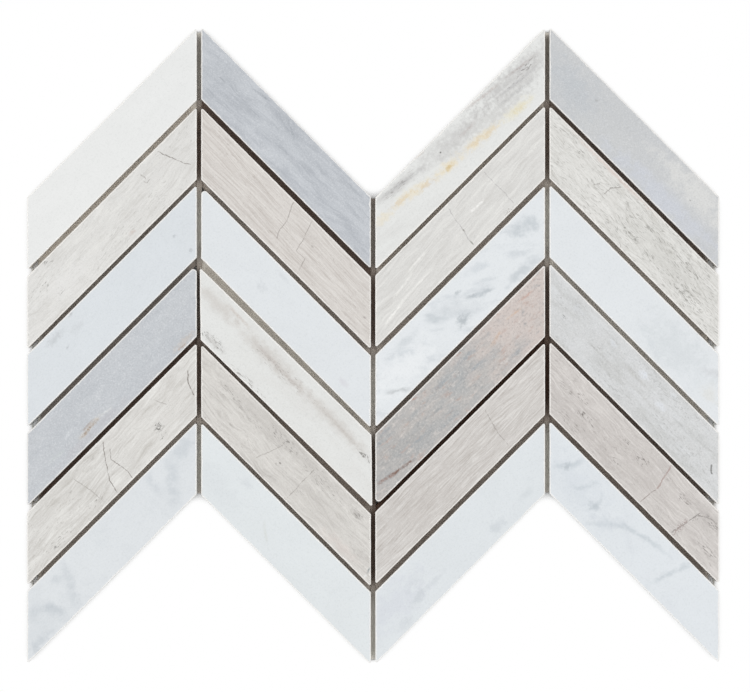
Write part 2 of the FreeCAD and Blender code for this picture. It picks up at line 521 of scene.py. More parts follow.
@dataclass(frozen=True)
class Stone:
    """One strip of stone: where it lies, how it was set, which corner is worn and its finish."""

    column: int
    row: int
    look: "StoneLook"
    slip: float = 0.0
    lift: float = 0.0
    worn: Worn = Worn.NEITHER

    def name(self) -> str:
        """The name of the stone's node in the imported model."""
        return f"stone_column{self.column}_row{self.row}"

    def seed(self) -> int:
        """A number of its own, which everything random about the stone starts from."""
        return 100 * self.column + self.row

    def middle(self) -> np.ndarray:
        """The stone's middle on the sheet, x and y."""
        slip = (self.slip + COLUMN_DRIFT.get(self.column, 0.0)) * LAYOUT.joint()
        return np.array([LAYOUT.column_middle(self.column), LAYOUT.row_middle(self.row) + slip])

    def turn(self) -> float:
        """How far the stone was turned when it was set, in radians."""
        return math.atan(self.lift * LAYOUT.joint() / LAYOUT.run)

    def strip_angle(self) -> float:
        """The direction of the strip's long edges, in radians above the X axis."""
        return column_direction(self.column) * LAYOUT.slope + self.turn()

    def corners(self) -> np.ndarray:
        """The parallelogram's corners before rounding, anticlockwise from the lower left.

        They stand half the run to the left and right, and half the end's height below and above the
        line that climbs or falls through the middle, all turned by the stone's turn.

        Returns:
            Four rows of x and y.
        """
        across, up = LAYOUT.run / 2, LAYOUT.end_height() / 2
        rise = column_direction(self.column) * LAYOUT.climb() / 2
        left = [(-across, -up - rise), (-across, up - rise)]
        right = [(across, rise - up), (across, up + rise)]
        square = np.array([left[0], right[0], right[1], left[1]])
        c, s = math.cos(self.turn()), math.sin(self.turn())
        return square @ np.array([(c, s), (-s, c)]) + self.middle()

    def corner_radii(self) -> np.ndarray:
        """The rounding of each corner, in the order of the corners."""
        tip, heel, worn = EDGES.tip_radius, EDGES.heel_radius, EDGES.worn_radius
        left = worn if self.worn is Worn.LEFT else tip
        right = worn if self.worn is Worn.RIGHT else tip
        climbs = column_direction(self.column) == 1
        return np.array([left, heel, right, heel] if climbs else [heel, right, heel, left])

    def around(self) -> float:
        """The distance round the outline."""
        return 2 * (LAYOUT.end_height() + LAYOUT.run / math.cos(LAYOUT.slope))

    def samples(self) -> tuple[np.ndarray, np.ndarray, np.ndarray, np.ndarray]:
        """How points are shared out round the outline: an arc at each corner, then the edge after it.

        Returns:
            For each point, the corner or edge it belongs to, its share of the way along that, whether
            it is on an arc, and how far round the outline it lies.
        """
        corners = self.corners()
        lengths = np.linalg.norm(np.roll(corners, -1, axis=0) - corners, axis=1)
        counts = (lengths / EDGES.spacing).astype(int)
        starts = np.concatenate([[0], np.cumsum(lengths)[:-1]])
        arc = np.linspace(0, 1, EDGES.arc_points)
        owner = np.concatenate([np.full(len(arc) + n, k) for k, n in enumerate(counts)])
        share = np.concatenate([np.concatenate([arc, np.arange(1, n + 1) / (n + 1)]) for n in counts])
        on_arc = np.concatenate([np.arange(len(arc) + n) < len(arc) for n in counts])
        arc_way = starts[owner] + (share - 0.5) * 2 * EDGES.heel_radius
        way = np.where(on_arc, arc_way, starts[owner] + share * lengths[owner])
        return owner, share, on_arc, way

    def ring(self, inset: np.ndarray) -> np.ndarray:
        """The outline drawn in by an inset that may change from point to point.

        At a corner with rounding r and interior angle a, the arc's radius is q, the larger of
        r - inset and the least radius, and its centre lies (inset + q) / sin(a / 2) from the corner
        along the bisector. A point of an edge is its share of the way between the ends of two arcs.

        Args:
            inset: the inset of each point, in metres.

        Returns:
            One row of x and y for each point.
        """
        owner, share, on_arc, _ = self.samples()
        corners, radii = self.corners(), self.corner_radii()
        ahead = np.roll(corners, -1, axis=0) - corners
        ahead /= np.linalg.norm(ahead, axis=1)[:, None]
        outward = np.stack([ahead[:, 1], -ahead[:, 0]], axis=1)
        before = np.roll(outward, 1, axis=0)
        bisector = -(outward + before)
        bisector /= np.linalg.norm(bisector, axis=1)[:, None]
        half_sine = np.abs(bisector[:, 0] * ahead[:, 1] - bisector[:, 1] * ahead[:, 0])

        def on_arc_of(corner: np.ndarray, normal: np.ndarray) -> np.ndarray:
            """The point of each corner's arc that faces along the normal."""
            radius = np.maximum(radii[corner] - inset, EDGES.least_radius)
            reach = (inset + radius) / half_sine[corner]
            return corners[corner] + bisector[corner] * reach[:, None] + normal * radius[:, None]

        start = np.arctan2(before[owner, 1], before[owner, 0])
        turn = (np.arctan2(outward[owner, 1], outward[owner, 0]) - start) % (2 * math.pi)
        facing = start + turn * share
        curved = on_arc_of(owner, np.stack([np.cos(facing), np.sin(facing)], axis=1))
        first = on_arc_of(owner, outward[owner])
        last = on_arc_of((owner + 1) % len(corners), outward[owner])
        return np.where(on_arc[:, None], curved, first + (last - first) * share[:, None])

    def wear(self) -> tuple[np.ndarray, np.ndarray]:
        """The bevel's width and the sides' unevenness round the outline.

        The width is the bevel times 1 plus the bevel's wave times a ripple, and never less than the
        bevel's least share. The deepest of the chips there adds to it: a chip is its depth times
        1 - ((way - place) / reach) ** 2, where that is above zero, and its depth is a share of its
        reach.

        Returns:
            The bevel's width and the inset of the sides at each point, in metres.
        """
        chance = np.random.default_rng(self.seed())
        way, around = self.samples()[3], self.around()
        turns = chance.integers(*EDGES.wave_turns, (2, EDGES.waves))
        phases = chance.uniform(0, 2 * math.pi, (2, EDGES.waves))
        waved = 1 + EDGES.bevel_wave * ripple(way, around, turns[0], phases[0])
        width = EDGES.bevel * np.maximum(waved, EDGES.least_bevel)
        side = EDGES.uneven * ripple(way, around, turns[1], phases[1])
        chips = int(chance.integers(*EDGES.chips))
        place = chance.uniform(0, around, chips)
        reach = chance.uniform(*EDGES.chip_reach_mm, chips) * MM
        depth = reach * chance.uniform(*EDGES.chip_depth, chips)
        apart = np.abs((way[:, None] - place + around / 2) % around - around / 2)
        bite = (depth * np.maximum(1 - (apart / reach) ** 2, 0)).max(axis=1)
        return width + bite, side - side.min()

    def build(self) -> bpy.types.Object:
        """Makes the stone from rings that run from its polished face over the bevel to its back.

        Over a bevel b wide, the ring at angle a lies b (1 - sin a) inside the side and b (1 - cos a)
        below the face, so the edge is rounded and each chip is a small scoop. The mark, which places the
        painted highlight along the edge, is 0 on the face and 1 from the bevel on, and rises over the lip
        between them.

        Returns:
            The stone, which stands for its node.
        """
        bevel, side = self.wear()
        top, bottom = LAYOUT.top, LAYOUT.net_thick
        rings = [(side + bevel + EDGES.lip, top + 0 * side)]
        for angle in np.radians(np.linspace(0, 90, EDGES.bevel_rings)):
            rings.append((side + bevel * (1 - math.sin(angle)), top - bevel * (1 - math.cos(angle))))
        for share in EDGES.side_levels:
            rings.append((side, bottom + share * (top - bottom) + 0 * side))
        rings.append((side, bottom + EDGES.back_bevel + 0 * side))
        rings.append((side + EDGES.back_bevel, bottom + 0 * side))
        # Mask of the painted edge highlight: 0 on the face and 1 from the bevel on.
        rim = np.ones(len(rings))
        rim[0] = 0.0
        stone = Tubes()
        stone.add(np.stack([np.column_stack([self.ring(inset), height]) for inset, height in rings]), rim)
        name = f"strip_column{self.column}_row{self.row}"
        piece = stone.piece(name, EDGES.sharp_past, self.look.dress(self))
        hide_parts(self.name())
        return piece


# Marks in the stone. A spot is a place on the stone's face in millimetres from its middle: u along
# the strip to the right and v across it towards its upper edge. Lengths are in millimetres too.

# Half the depth of an ellipse's patch: so deep that it runs through the whole stone.
THROUGH = 1000.0

# How far apart the layers of noise lie from one seed to the next, for each kind of mark, and from
# one mottle of a stone to the next.
GRAIN_LAYER, FLECK_LAYER, MOTTLE_LAYER, NEXT_MOTTLE = 13.0, 17.0, 7.0, 900.0


@dataclass(frozen=True)
class Ground:
    """The stone that a mark is painted on, with its graph and its own coordinates."""

    graph: Graph
    stone: Stone
    place: Link

    def near(self, at: Spot, size: tuple[float, float], angle: float = 0.0) -> Term:
        """How far a place lies from a spot: 0 on the spot and 1 on the rim of an ellipse round it.

        Args:
            at: the spot.
            size: half the ellipse's width and height.
            angle: how far the ellipse is turned, in degrees.

        Returns:
            The distance, as a share of the way to the rim.
        """
        unit = (size[0], size[1], THROUGH)
        turned = self.graph.frame_of(self.place, (at[0], at[1], 0.0), math.radians(angle), unit)
        return self.graph.length(turned)

    def rag(self, size: float, reach: float, detail: float = 3.0) -> Term:
        """Noise of that size, which moves a rim or a line by about as much as the reach."""
        return self.graph.noise(self.place, size, detail, 0.6) * (4 * reach)

    def line(self, start: Spot, end: Spot, even: bool = False) -> tuple[Term, Term]:
        """A place seen along a line from one spot to another.

        Args:
            start: the first spot.
            end: the last spot.
            even: whether the way across is a share of the line's length, as the way along is.

        Returns:
            The share of the way along, and the way across.
        """
        (u0, v0), (u1, v1) = start, end
        length = math.hypot(u1 - u0, v1 - v0)
        unit = (length, length if even else 1.0, 1.0)
        turned = self.graph.frame_of(self.place, (u0, v0, 0.0), math.atan2(v1 - v0, u1 - u0), unit)
        along, across, _ = self.graph.split(turned)
        return along, across

    def between_ends(self, along: Term, fade: float) -> Term:
        """1 along a line, falling smoothly to 0 over that share of it at each end."""
        return self.graph.smooth(along, 0.0, fade) * self.graph.smooth(along, 1.0, 1.0 - fade)

    def strip(self, steeper: float, layer: float, stretch: float = 1.0) -> bpy.types.NodeSocket:
        """The coordinates turned a little more steeply than the strip, in a layer of the stone's own.

        Args:
            steeper: how much steeper, in degrees.
            layer: a number for the kind of mark, so that no two kinds share their noise.
            stretch: how much everything is drawn out along the strip.

        Returns:
            The turned coordinates.
        """
        tilt = column_direction(self.stone.column) * math.radians(steeper)
        return self.graph.frame_of(self.place, (0.0, 0.0, layer), tilt, (stretch, 1.0, 1.0))


class Mark:
    """Something that changes the stone's colour where it lies."""

    colour: Colour
    strength: float

    def amount(self, ground: Ground) -> Term:
        """How much of the mark lies at each place, from 0 to 1."""
        raise NotImplementedError

    def paint(self, ground: Ground, under: Link) -> Link:
        """The colour under the mark, with the mark laid over it."""
        return ground.graph.mix(self.amount(ground) * self.strength, under, self.colour)


@dataclass(frozen=True)
class Cloud(Mark):
    """A soft patch of another colour round one spot. Its size is half its width and height."""

    at: Spot
    size: tuple[float, float]
    colour: Colour
    strength: float
    angle: float = 0.0
    ragged: float = 0.5
    grit: float = 4.0

    def amount(self, ground: Ground) -> Term:
        """Falls smoothly from the spot to the rim of an ellipse, which noise makes ragged."""
        near = ground.near(self.at, self.size, self.angle)
        return ground.graph.smooth(near + ground.rag(self.grit, self.ragged), 1.0, 0.1)


@dataclass(frozen=True)
class Streak(Mark):
    """A line of another colour from one spot to another."""

    start: Spot
    end: Spot
    width: float
    colour: Colour
    strength: float
    wander: float = 0.5
    wave: float = 6.0
    broken: float = 0.5
    fade: float = 0.15
    core: float = 0.1
    grit: float = 0.3

    def amount(self, ground: Ground) -> Term:
        """Falls smoothly across the line from the core, a share of the width, to the width.

        Noise moves the line sideways by its wander and breaks it up along its length, and finer noise
        breaks it into grains.

        Args:
            ground: the stone.

        Returns:
            How much of the line lies at each place.
        """
        graph, place = ground.graph, ground.place
        along, across = ground.line(self.start, self.end)
        ends = ground.between_ends(along, self.fade)
        drift = ground.rag(self.wave, self.wander)
        body = graph.smooth(abs(across + drift), self.width, self.width * self.core)
        breaks = 1 - self.broken * graph.smooth(graph.noise(place, self.wave * 0.6, 4.0, 0.65), -0.1, 0.15)
        grains = 1 - self.grit * graph.smooth(graph.noise(place, 1.1, 2.0, 0.6), -0.08, 0.1)
        return body * ends * breaks * grains


@dataclass(frozen=True)
class Fade(Mark):
    """A slow change to another colour from one spot to another."""

    start: Spot
    end: Spot
    colour: Colour
    strength: float
    ragged: float = 0.3
    grit: float = 8.0

    def amount(self, ground: Ground) -> Term:
        """Nothing at the start and all of it from the end on, with noise between them."""
        along, _ = ground.line(self.start, self.end)
        return ground.graph.smooth(along + ground.rag(self.grit, self.ragged, 4.0), 0.0, 1.0)


@dataclass(frozen=True)
class Crack(Mark):
    """A fine healed crack or a soft vein through several spots."""

    path: tuple[Spot, ...]
    strength: float = 0.75
    width: float = 0.28
    colour: Colour = srgb(124, 116, 110)
    wander: float = 0.2
    broken: float = 0.6
    gaps: float = 2.5
    soft: bool = False

    def amount(self, ground: Ground) -> Term:
        """Falls smoothly from the middle of the crack to its width.

        Seen along the line from its first spot to its last, the crack's distance from that line is a
        broken line through the spots between them, plus a little noise. Other noise, as coarse as the
        gaps, breaks it up. A soft vein curves smoothly and fades towards its sides and ends.

        Args:
            ground: the stone.

        Returns:
            How much of the crack lies at each place.
        """
        graph = ground.graph
        (u0, v0), (u1, v1) = self.path[0], self.path[-1]
        length = math.hypot(u1 - u0, v1 - v0)
        c, s = (u1 - u0) / length, (v1 - v0) / length
        bends = [
            (((u - u0) * c + (v - v0) * s) / length, 0.5 + ((v - v0) * c - (u - u0) * s) / length)
            for u, v in self.path
        ]
        handle, core, fade = ("AUTO", 0.0, 0.35) if self.soft else ("VECTOR", 0.3, 0.04)
        along, across = ground.line(self.path[0], self.path[-1], even=True)
        drift = ground.rag(1.6 + self.width, (self.wander + 0.3 * self.width) / length)
        offset = abs(across - (graph.curve(along, bends, handle) - 0.5) + drift)
        body = graph.smooth(offset, self.width / length, core * self.width / length)
        breaks = graph.smooth(graph.noise(ground.place, self.gaps, 3.0, 0.6), -0.02, 0.12)
        return body * ground.between_ends(along, fade) * (1 - self.broken * breaks)


@dataclass(frozen=True)
class Grain(Mark):
    """Fine wavy lines along the strip, like the grain of wood."""

    dark: Colour
    light: Colour
    line: float = 0.8
    band: float = 3.5
    length: float = 16.0
    steeper: float = 4.0
    wander: float = 1.2
    strength: float = 0.5
    band_strength: float = 0.4

    def paint(self, ground: Ground, under: Link) -> Link:
        """Lays the grain over the colour under it.

        It is noise stretched along the strip and bent by broad, slow noise. A fine layer gives lines
        and a coarse layer bands, and each darkens one part of the stone and lightens another.

        Args:
            ground: the stone.
            under: the colour so far.

        Returns:
            The new colour.
        """
        graph = ground.graph
        u, v, w = graph.split(ground.strip(self.steeper, GRAIN_LAYER * ground.stone.seed()))
        slow = graph.noise(graph.join(u * 0.4, v, w * 0.6), 9.0, 2.0) * (4 * self.wander)
        quick = graph.noise(graph.join(u * 0.5, v, w), 2.5, 2.0) * (1.2 * self.line)
        bent = v + slow + quick
        fine = graph.noise(graph.join(u / self.length, bent / self.line, w * 0.15), 1.0, 2.0, 0.55)
        coarse = graph.noise(graph.join(u / self.length * 0.6, bent / self.band, w * 0.1), 1.0, 3.0, 0.6)
        for colour, rim in ((self.dark, 0.2), (self.light, -0.2)):
            lines = graph.smooth(fine, 0.0, rim) * self.strength
            under = graph.mix(lines + graph.smooth(coarse, 0.0, rim) * self.band_strength, under, colour)
        return under


@dataclass(frozen=True)
class Flecks(Mark):
    """Short dashes along the strip, in a patch round one spot or in clusters all over the stone.

    The patch's size is half its width and height.
    """

    colour: Colour
    strength: float = 0.6
    at: Optional[Spot] = None
    size: tuple[float, float] = (5.0, 2.0)
    length: float = 2.2
    width: float = 0.4
    steeper: float = 5.0
    sparse: float = 0.08
    cluster: float = 9.0
    clear: float = 0.0

    def amount(self, ground: Ground) -> Term:
        """A dash lies where fine noise, stretched along the strip, is above the sparse level.

        It does so only inside the patch, or where broad noise is above the clear level.

        Args:
            ground: the stone.

        Returns:
            How much of a dash lies at each place.
        """
        graph = ground.graph
        u, v, w = graph.split(ground.strip(self.steeper, FLECK_LAYER * ground.stone.seed()))
        bent = v + graph.noise(graph.join(u * 0.5, v, w), 3.5, 2.0) * 3.5
        dash = graph.noise(graph.join(u / self.length, bent / self.width, w * 0.2), 1.0, 1.0)
        if self.at is None:
            broad = graph.noise(graph.join(u * 0.5, v, w * 0.3), self.cluster, 3.0, 0.6)
            where = graph.smooth(broad, self.clear - 0.08, self.clear + 0.1)
        else:
            rim = graph.noise(ground.place, 2.5, 2.0) * 1.6
            where = graph.smooth(ground.near(self.at, self.size) + rim, 1.1, 0.4)
        return graph.smooth(dash, self.sparse, self.sparse + 0.1) * where


@dataclass(frozen=True)
class Grit(Mark):
    """Crystals that show as fine specks all over a stone."""

    strength: float = 0.15
    size: float = 0.75
    dark: Colour = srgb(160, 162, 164)
    light: Colour = srgb(250, 251, 252)

    def paint(self, ground: Ground, under: Link) -> Link:
        """Lays the specks over the colour under it, darker in places and lighter in others.

        Args:
            ground: the stone.
            under: the colour so far.

        Returns:
            The new colour.
        """
        speck = ground.graph.noise(ground.place, self.size, 2.0, 0.7)
        for colour, rim in ((self.dark, 0.25), (self.light, -0.25)):
            under = ground.graph.mix(ground.graph.smooth(speck, 0.0, rim) * self.strength, under, colour)
        return under


@dataclass(frozen=True)
class Mottle(Mark):
    """Slow, cloudy changes of tone all over a stone, drawn out along the strip or near it."""

    colour: Colour
    size: float = 12.0
    strength: float = 0.5
    stretch: float = 1.6
    steeper: float = 0.0
    detail: float = 4.0
    swirl: float = 0.0
    low: float = -0.2
    high: float = 0.2
    layer: int = 0

    def amount(self, ground: Ground) -> Term:
        """Cloudy noise between its low and high levels.

        Broader noise shifts it sideways by the swirl times its size, which curls it.

        Args:
            ground: the stone.

        Returns:
            How much of the other tone lies at each place.
        """
        graph = ground.graph
        layer = MOTTLE_LAYER * ground.stone.seed() + NEXT_MOTTLE * self.layer
        turned = ground.strip(self.steeper, layer, self.stretch)
        if self.swirl:
            u, v, w = graph.split(turned)
            curl = graph.noise(turned, self.size * 1.6, 2.0) * (4 * self.swirl * self.size)
            turned = graph.join(u, v + curl, w)
        return graph.smooth(graph.noise(turned, self.size, self.detail, 0.6), self.low, self.high)


# Finishes of the stones

PALE_SAWN = (0.96, 0.94, 0.91)
# The grain stones' sides are darkened brown as painted shade for their joints.
BROWN_SHADED_SIDES = (0.80, 0.73, 0.68)
# The colour of the painted highlight along each stone's bevel and lip.
PAINTED_EDGE_HIGHLIGHT = srgb(253, 250, 246)

# How far below the face the polish ends and how far below it is still whole, in millimetres.
POLISH_ENDS, POLISH_WHOLE = 0.7, 0.3

# How strongly the painted highlight pales the edge, how much rougher the edge is, and how rough
# a sawn side is.
EDGE_HIGHLIGHT_STRENGTH, EDGE_DULLS, SAWN_DULL = 0.75, 0.25, 0.75


@dataclass(frozen=True)
class StoneLook:
    """The finish of one stone: its colour, the marks over it in order, and its sawn sides.

    Its last field sets painted light in the joints: how pale the adhesive beside the stone is painted,
    for the light that the stone passes into its joint.
    """

    slot: str
    base: Colour
    marks: tuple[Mark, ...] = ()
    sawn_and_shade: Colour = PALE_SAWN
    gloss: float = 0.22
    painted_joint_light: float = 0.5

    def dress(self, stone: Stone) -> bpy.types.Material:
        """Makes the stone's material.

        The marks run through the whole thickness, as they do in stone. Below the bevel the sides and the
        back are as the saw left them: a little darker, rough and ridged, and on the grain stones darkened
        brown as painted shade for their joints. The bevel and the lip inside it are painted pale, as a
        painted highlight along the edge.

        Args:
            stone: the stone that it is for.

        Returns:
            The material.
        """
        graph = Graph(bpy.data.materials.new(stone.name()))
        object_place = graph.node("ShaderNodeTexCoord").outputs["Object"]
        x, y = stone.middle()
        place = graph.frame_of(object_place, (x, y, 0.0), stone.strip_angle(), (MM, MM, MM))
        ground = Ground(graph, stone, place)
        colour: Link = self.base
        for mark in self.marks:
            colour = mark.paint(ground, colour)
        u, v, w = graph.split(place)
        top = LAYOUT.top / MM
        polished = graph.smooth(w, top - POLISH_ENDS, top - POLISH_WHOLE)
        # Mask of the painted edge highlight on the bevel and lip.
        highlight_edge = graph.mark() * polished
        # The sawn tint of sides and back, which on the grain stones is painted shade.
        sawn_and_shade = graph.mix(1.0, colour, self.sawn_and_shade, "MULTIPLY")
        # The bevel and lip are paled towards white as a painted highlight.
        colour = graph.mix(polished, sawn_and_shade, graph.mix(highlight_edge * EDGE_HIGHLIGHT_STRENGTH, colour, PAINTED_EDGE_HIGHLIGHT))
        cloudy = graph.noise(place, 5.0, 4.0, 0.6)
        shine = self.gloss + 0.12 * cloudy + EDGE_DULLS * highlight_edge
        dull = SAWN_DULL + 0.15 * cloudy
        roughness = dull + polished * (shine - dull)
        ridges = graph.noise(graph.join(u * 2.5, v * 2.5, w * 0.35), 1.0, 3.0, 0.6)
        grit = graph.noise(place, 0.5, 2.0, 0.6)
        relief = (ridges * 0.6 + grit * 0.4) * (1 - polished) + 0.02 * grit * polished
        return graph.surface(colour, roughness, graph.bump(relief, 0.6, 0.1 * MM))


def white_look(tone: Colour, *marks: Mark, slot: str = "white_marble", painted_joint_light: float = 1.0) -> StoneLook:
    """A white marble that is nearly plain: a faint haze, the given marks, and fine crystals."""
    haze = Mottle(colour=dimmed(tone, 0.95), size=13.0, strength=0.5)
    return StoneLook(slot, tone, (haze, *marks, Grit(0.12)), painted_joint_light=painted_joint_light)


def grain_look(slot: str, tone: Colour, *marks: Mark, painted_joint_light: float = 0.45) -> StoneLook:
    """A stone with a grain like wood: its main tone, the grain and other marks, and crystals."""
    # Its sides are darkened brown as painted shade for its joints.
    return StoneLook(slot, tone, (*marks, Grit(0.18, 0.6)), sawn_and_shade=BROWN_SHADED_SIDES, gloss=0.26, painted_joint_light=painted_joint_light)


def marble_look(slot: str, tone: Colour, *marks: Mark, painted_joint_light: float) -> StoneLook:
    """A marble with the given marks alone."""
    return StoneLook(slot, tone, marks, painted_joint_light=painted_joint_light)


def wisp(start: Spot, end: Spot, colour: Colour, strength: float = 0.5, width: float = 1.0) -> Streak:
    """A short soft streak with grainy, wandering edges."""
    return Streak(start, end, width, colour, strength, wander=0.4, wave=3.0, fade=0.3, grit=0.5)


def vein(path: tuple[Spot, ...], colour: Colour, strength: float = 0.5, width: float = 2.0) -> Crack:
    """A soft vein through several spots."""
    return Crack(path, strength, width, colour, wander=0.4, broken=0.5, gaps=5.0, soft=True)


def column_one() -> list[Stone]:
    """The first column from the left, from the top down."""
    smoke = srgb(203, 209, 214)
    return [
        Stone(1, 1, white_look(srgb(239, 240, 239), painted_joint_light=1.5)),
        Stone(1, 2, grain_look(
            "wood_grain_stone", srgb(225, 224, 221),
            Grain(srgb(207, 205, 200), srgb(238, 237, 233), line=0.65, length=9, wander=1.8, strength=0.45),
            Cloud((-32, -2), (26, 9), srgb(235, 234, 232), 0.55),
            Flecks(srgb(176, 174, 169), 0.45, sparse=0.1),
            Flecks(srgb(150, 149, 145), 0.8, (-31, 9), (4, 1.5), sparse=0.05),
            Flecks(srgb(150, 149, 145), 0.6, (-41, 3.6), (6, 2.6), sparse=0.1),
            Flecks(srgb(150, 149, 145), 0.6, (-34, -4), (4, 0.9), sparse=0.05),
            Cloud((-37, 2), (0.9, 0.6), srgb(150, 150, 146), 0.7, grit=0.8),
            Cloud((5, -7.6), (2.2, 1.3), srgb(206, 192, 184), 0.6, grit=1.2),
            Crack(((37.3, 9.7), (38.8, 5.4), (40.5, 1.1), (41.8, -2.3), (43.5, -4.9)), 0.8),
            Crack(((25, 7.6), (25.6, 5.4), (25.1, 4.6)), 0.6),
            Crack(((23.8, 4.4), (24.6, 3.1), (26.4, 3.4)), 0.6),
        ), slip=-0.1),
        Stone(1, 3, white_look(
            srgb(224, 229, 233),
            Cloud((40, 2.3), (1.7, 1.1), srgb(180, 184, 189), 0.5, grit=1.2),
            Cloud((41, -7), (1.4, 1.2), srgb(176, 180, 184), 0.5, grit=1),
            Cloud((-27, 7.4), (7, 2.2), srgb(196, 200, 203), 0.6, grit=1.6),
            Cloud((-26, 0.9), (1.5, 1), srgb(190, 194, 198), 0.6, grit=1),
            Cloud((-17, 4), (5, 2.4), srgb(206, 210, 213), 0.4, grit=1.8),
            Cloud((-15, 10), (1.8, 0.9), srgb(180, 182, 184), 0.6, grit=1),
            slot="blue_white_marble",
        ), slip=0.1),
        Stone(1, 4, marble_look(
            "blue_grey_marble", srgb(199, 203, 208),
            Mottle(srgb(209, 212, 215), 7, 0.5, stretch=3),
            Mottle(srgb(189, 193, 198), 5, 0.45, stretch=3, layer=1),
            Cloud((-30, 0), (26, 10), srgb(191, 195, 200), 0.4),
            Cloud((36, -8.8), (9, 2.6), srgb(204, 192, 180), 0.5, grit=1.3),
            Cloud((-22, -8.6), (30, 2.4), srgb(192, 190, 194), 0.5),
            wisp((-32, -2.4), (-23.5, -0.6), srgb(224, 227, 230), 0.6, 1.1),
            wisp((-9, 0.6), (-5.4, 2.8), srgb(220, 223, 227), 0.5, 0.8),
            wisp((-44, -4.6), (-33, -5.2), srgb(206, 214, 210), 0.5, 1),
            wisp((-28, -6.8), (-11, -5.4), srgb(226, 220, 210), 0.9, 1.7),
            wisp((-27, -6.8), (-12.6, -6), srgb(144, 118, 96), 0.85, 1.2),
            wisp((-24, -4.8), (-15, -5), srgb(150, 124, 104), 0.85, 0.9),
            wisp((-13.4, -5.9), (-5.6, -6.6), srgb(226, 227, 226), 0.85, 0.7),
            wisp((30, -9.6), (36, -9.9), srgb(160, 126, 100), 0.7, 0.6),
            Grit(0.3, 0.7),
            painted_joint_light=0.2,
        ), worn=Worn.RIGHT),
        Stone(1, 5, grain_look(
            "wood_grain_stone", srgb(219, 217, 213),
            Grain(
                srgb(199, 196, 190), srgb(236, 235, 231), line=0.75, length=11, wander=1.6, strength=0.6,
                band_strength=0.5,
            ),
            Cloud((34, 0), (26, 11), srgb(229, 227, 223), 0.4),
            wisp((-53, -3.8), (-12, -3), srgb(240, 239, 235), 0.7, 0.7),
            wisp((3, -1.4), (40, 2), srgb(238, 237, 233), 0.6, 0.8),
            Flecks(srgb(164, 161, 155), 0.4, sparse=0.1, cluster=8),
            Flecks(srgb(140, 137, 131), 0.7, (-40, -7.6), (10, 2.6), sparse=0.08),
            Flecks(srgb(140, 137, 131), 0.6, (-16.5, -6.8), (5, 2.2), sparse=0.08),
            Flecks(srgb(130, 127, 121), 0.8, (23.5, -6.8), (4, 1.6), length=1.2),
            Flecks(srgb(100, 97, 92), 1, (25.4, -3), (2.6, 2.2), length=1.4, sparse=-0.02),
            Cloud((-42.5, -8.2), (1.1, 1), srgb(126, 124, 120), 0.8, grit=0.9),
            Cloud((-21, 4.1), (1.1, 0.6), srgb(176, 173, 168), 0.7, grit=0.9),
            Crack(((4.3, 9.9), (0.4, 4.7), (-3, -0.4), (-5.6, -4.3), (-6.5, -7.8), (-7.1, -10.8)), 0.95),
            Crack(((4.3, 5.6), (1.1, 1.7), (2.2, -3), (2.6, -7.3), (2, -10.9)), 0.8),
            Crack(((-16.1, 7.3), (-15.2, 2.2), (-14.4, -1.3), (-14, -7.3)), 0.45),
            Crack(((51.9, 5.6), (48.2, 1.7), (46.8, -1.7), (46, -4.3)), 0.9, 0.35),
            Crack(((32.3, 7.3), (33.2, 4.7), (34.9, 1.3)), 0.35),
        )),
        Stone(1, 6, white_look(
            srgb(227, 231, 234),
            Cloud((-46, -4), (20, 10), srgb(214, 219, 223), 0.5),
            Mottle(srgb(212, 217, 221), 9, 0.4, steeper=-50, swirl=0.5, low=0, high=0.25, layer=1),
            vein(((-50, 5), (-39.6, -0.4), (-36.8, -5.6), (-36.2, -14)), smoke, 1, 4),
            vein(((-19, 13), (-23, 4.6), (-27.6, -3.8), (-32, -13)), smoke, 0.6, 3.4),
            vein(((47, 13), (41.4, 4.6), (34.9, -1.6), (28, -13)), smoke, 0.65, 4.6),
            vein(((34, 13), (30.4, 5.4), (29.4, -3)), smoke, 0.5, 3.4),
            Cloud((-53, -8.6), (9, 3.4), smoke, 0.8),
            Cloud((50, 7.4), (9, 4.4), smoke, 0.6),
            Cloud((-28, 5.4), (4.4, 3.4), smoke, 0.5),
            slot="grey_veined_white_marble",
        )),
    ]


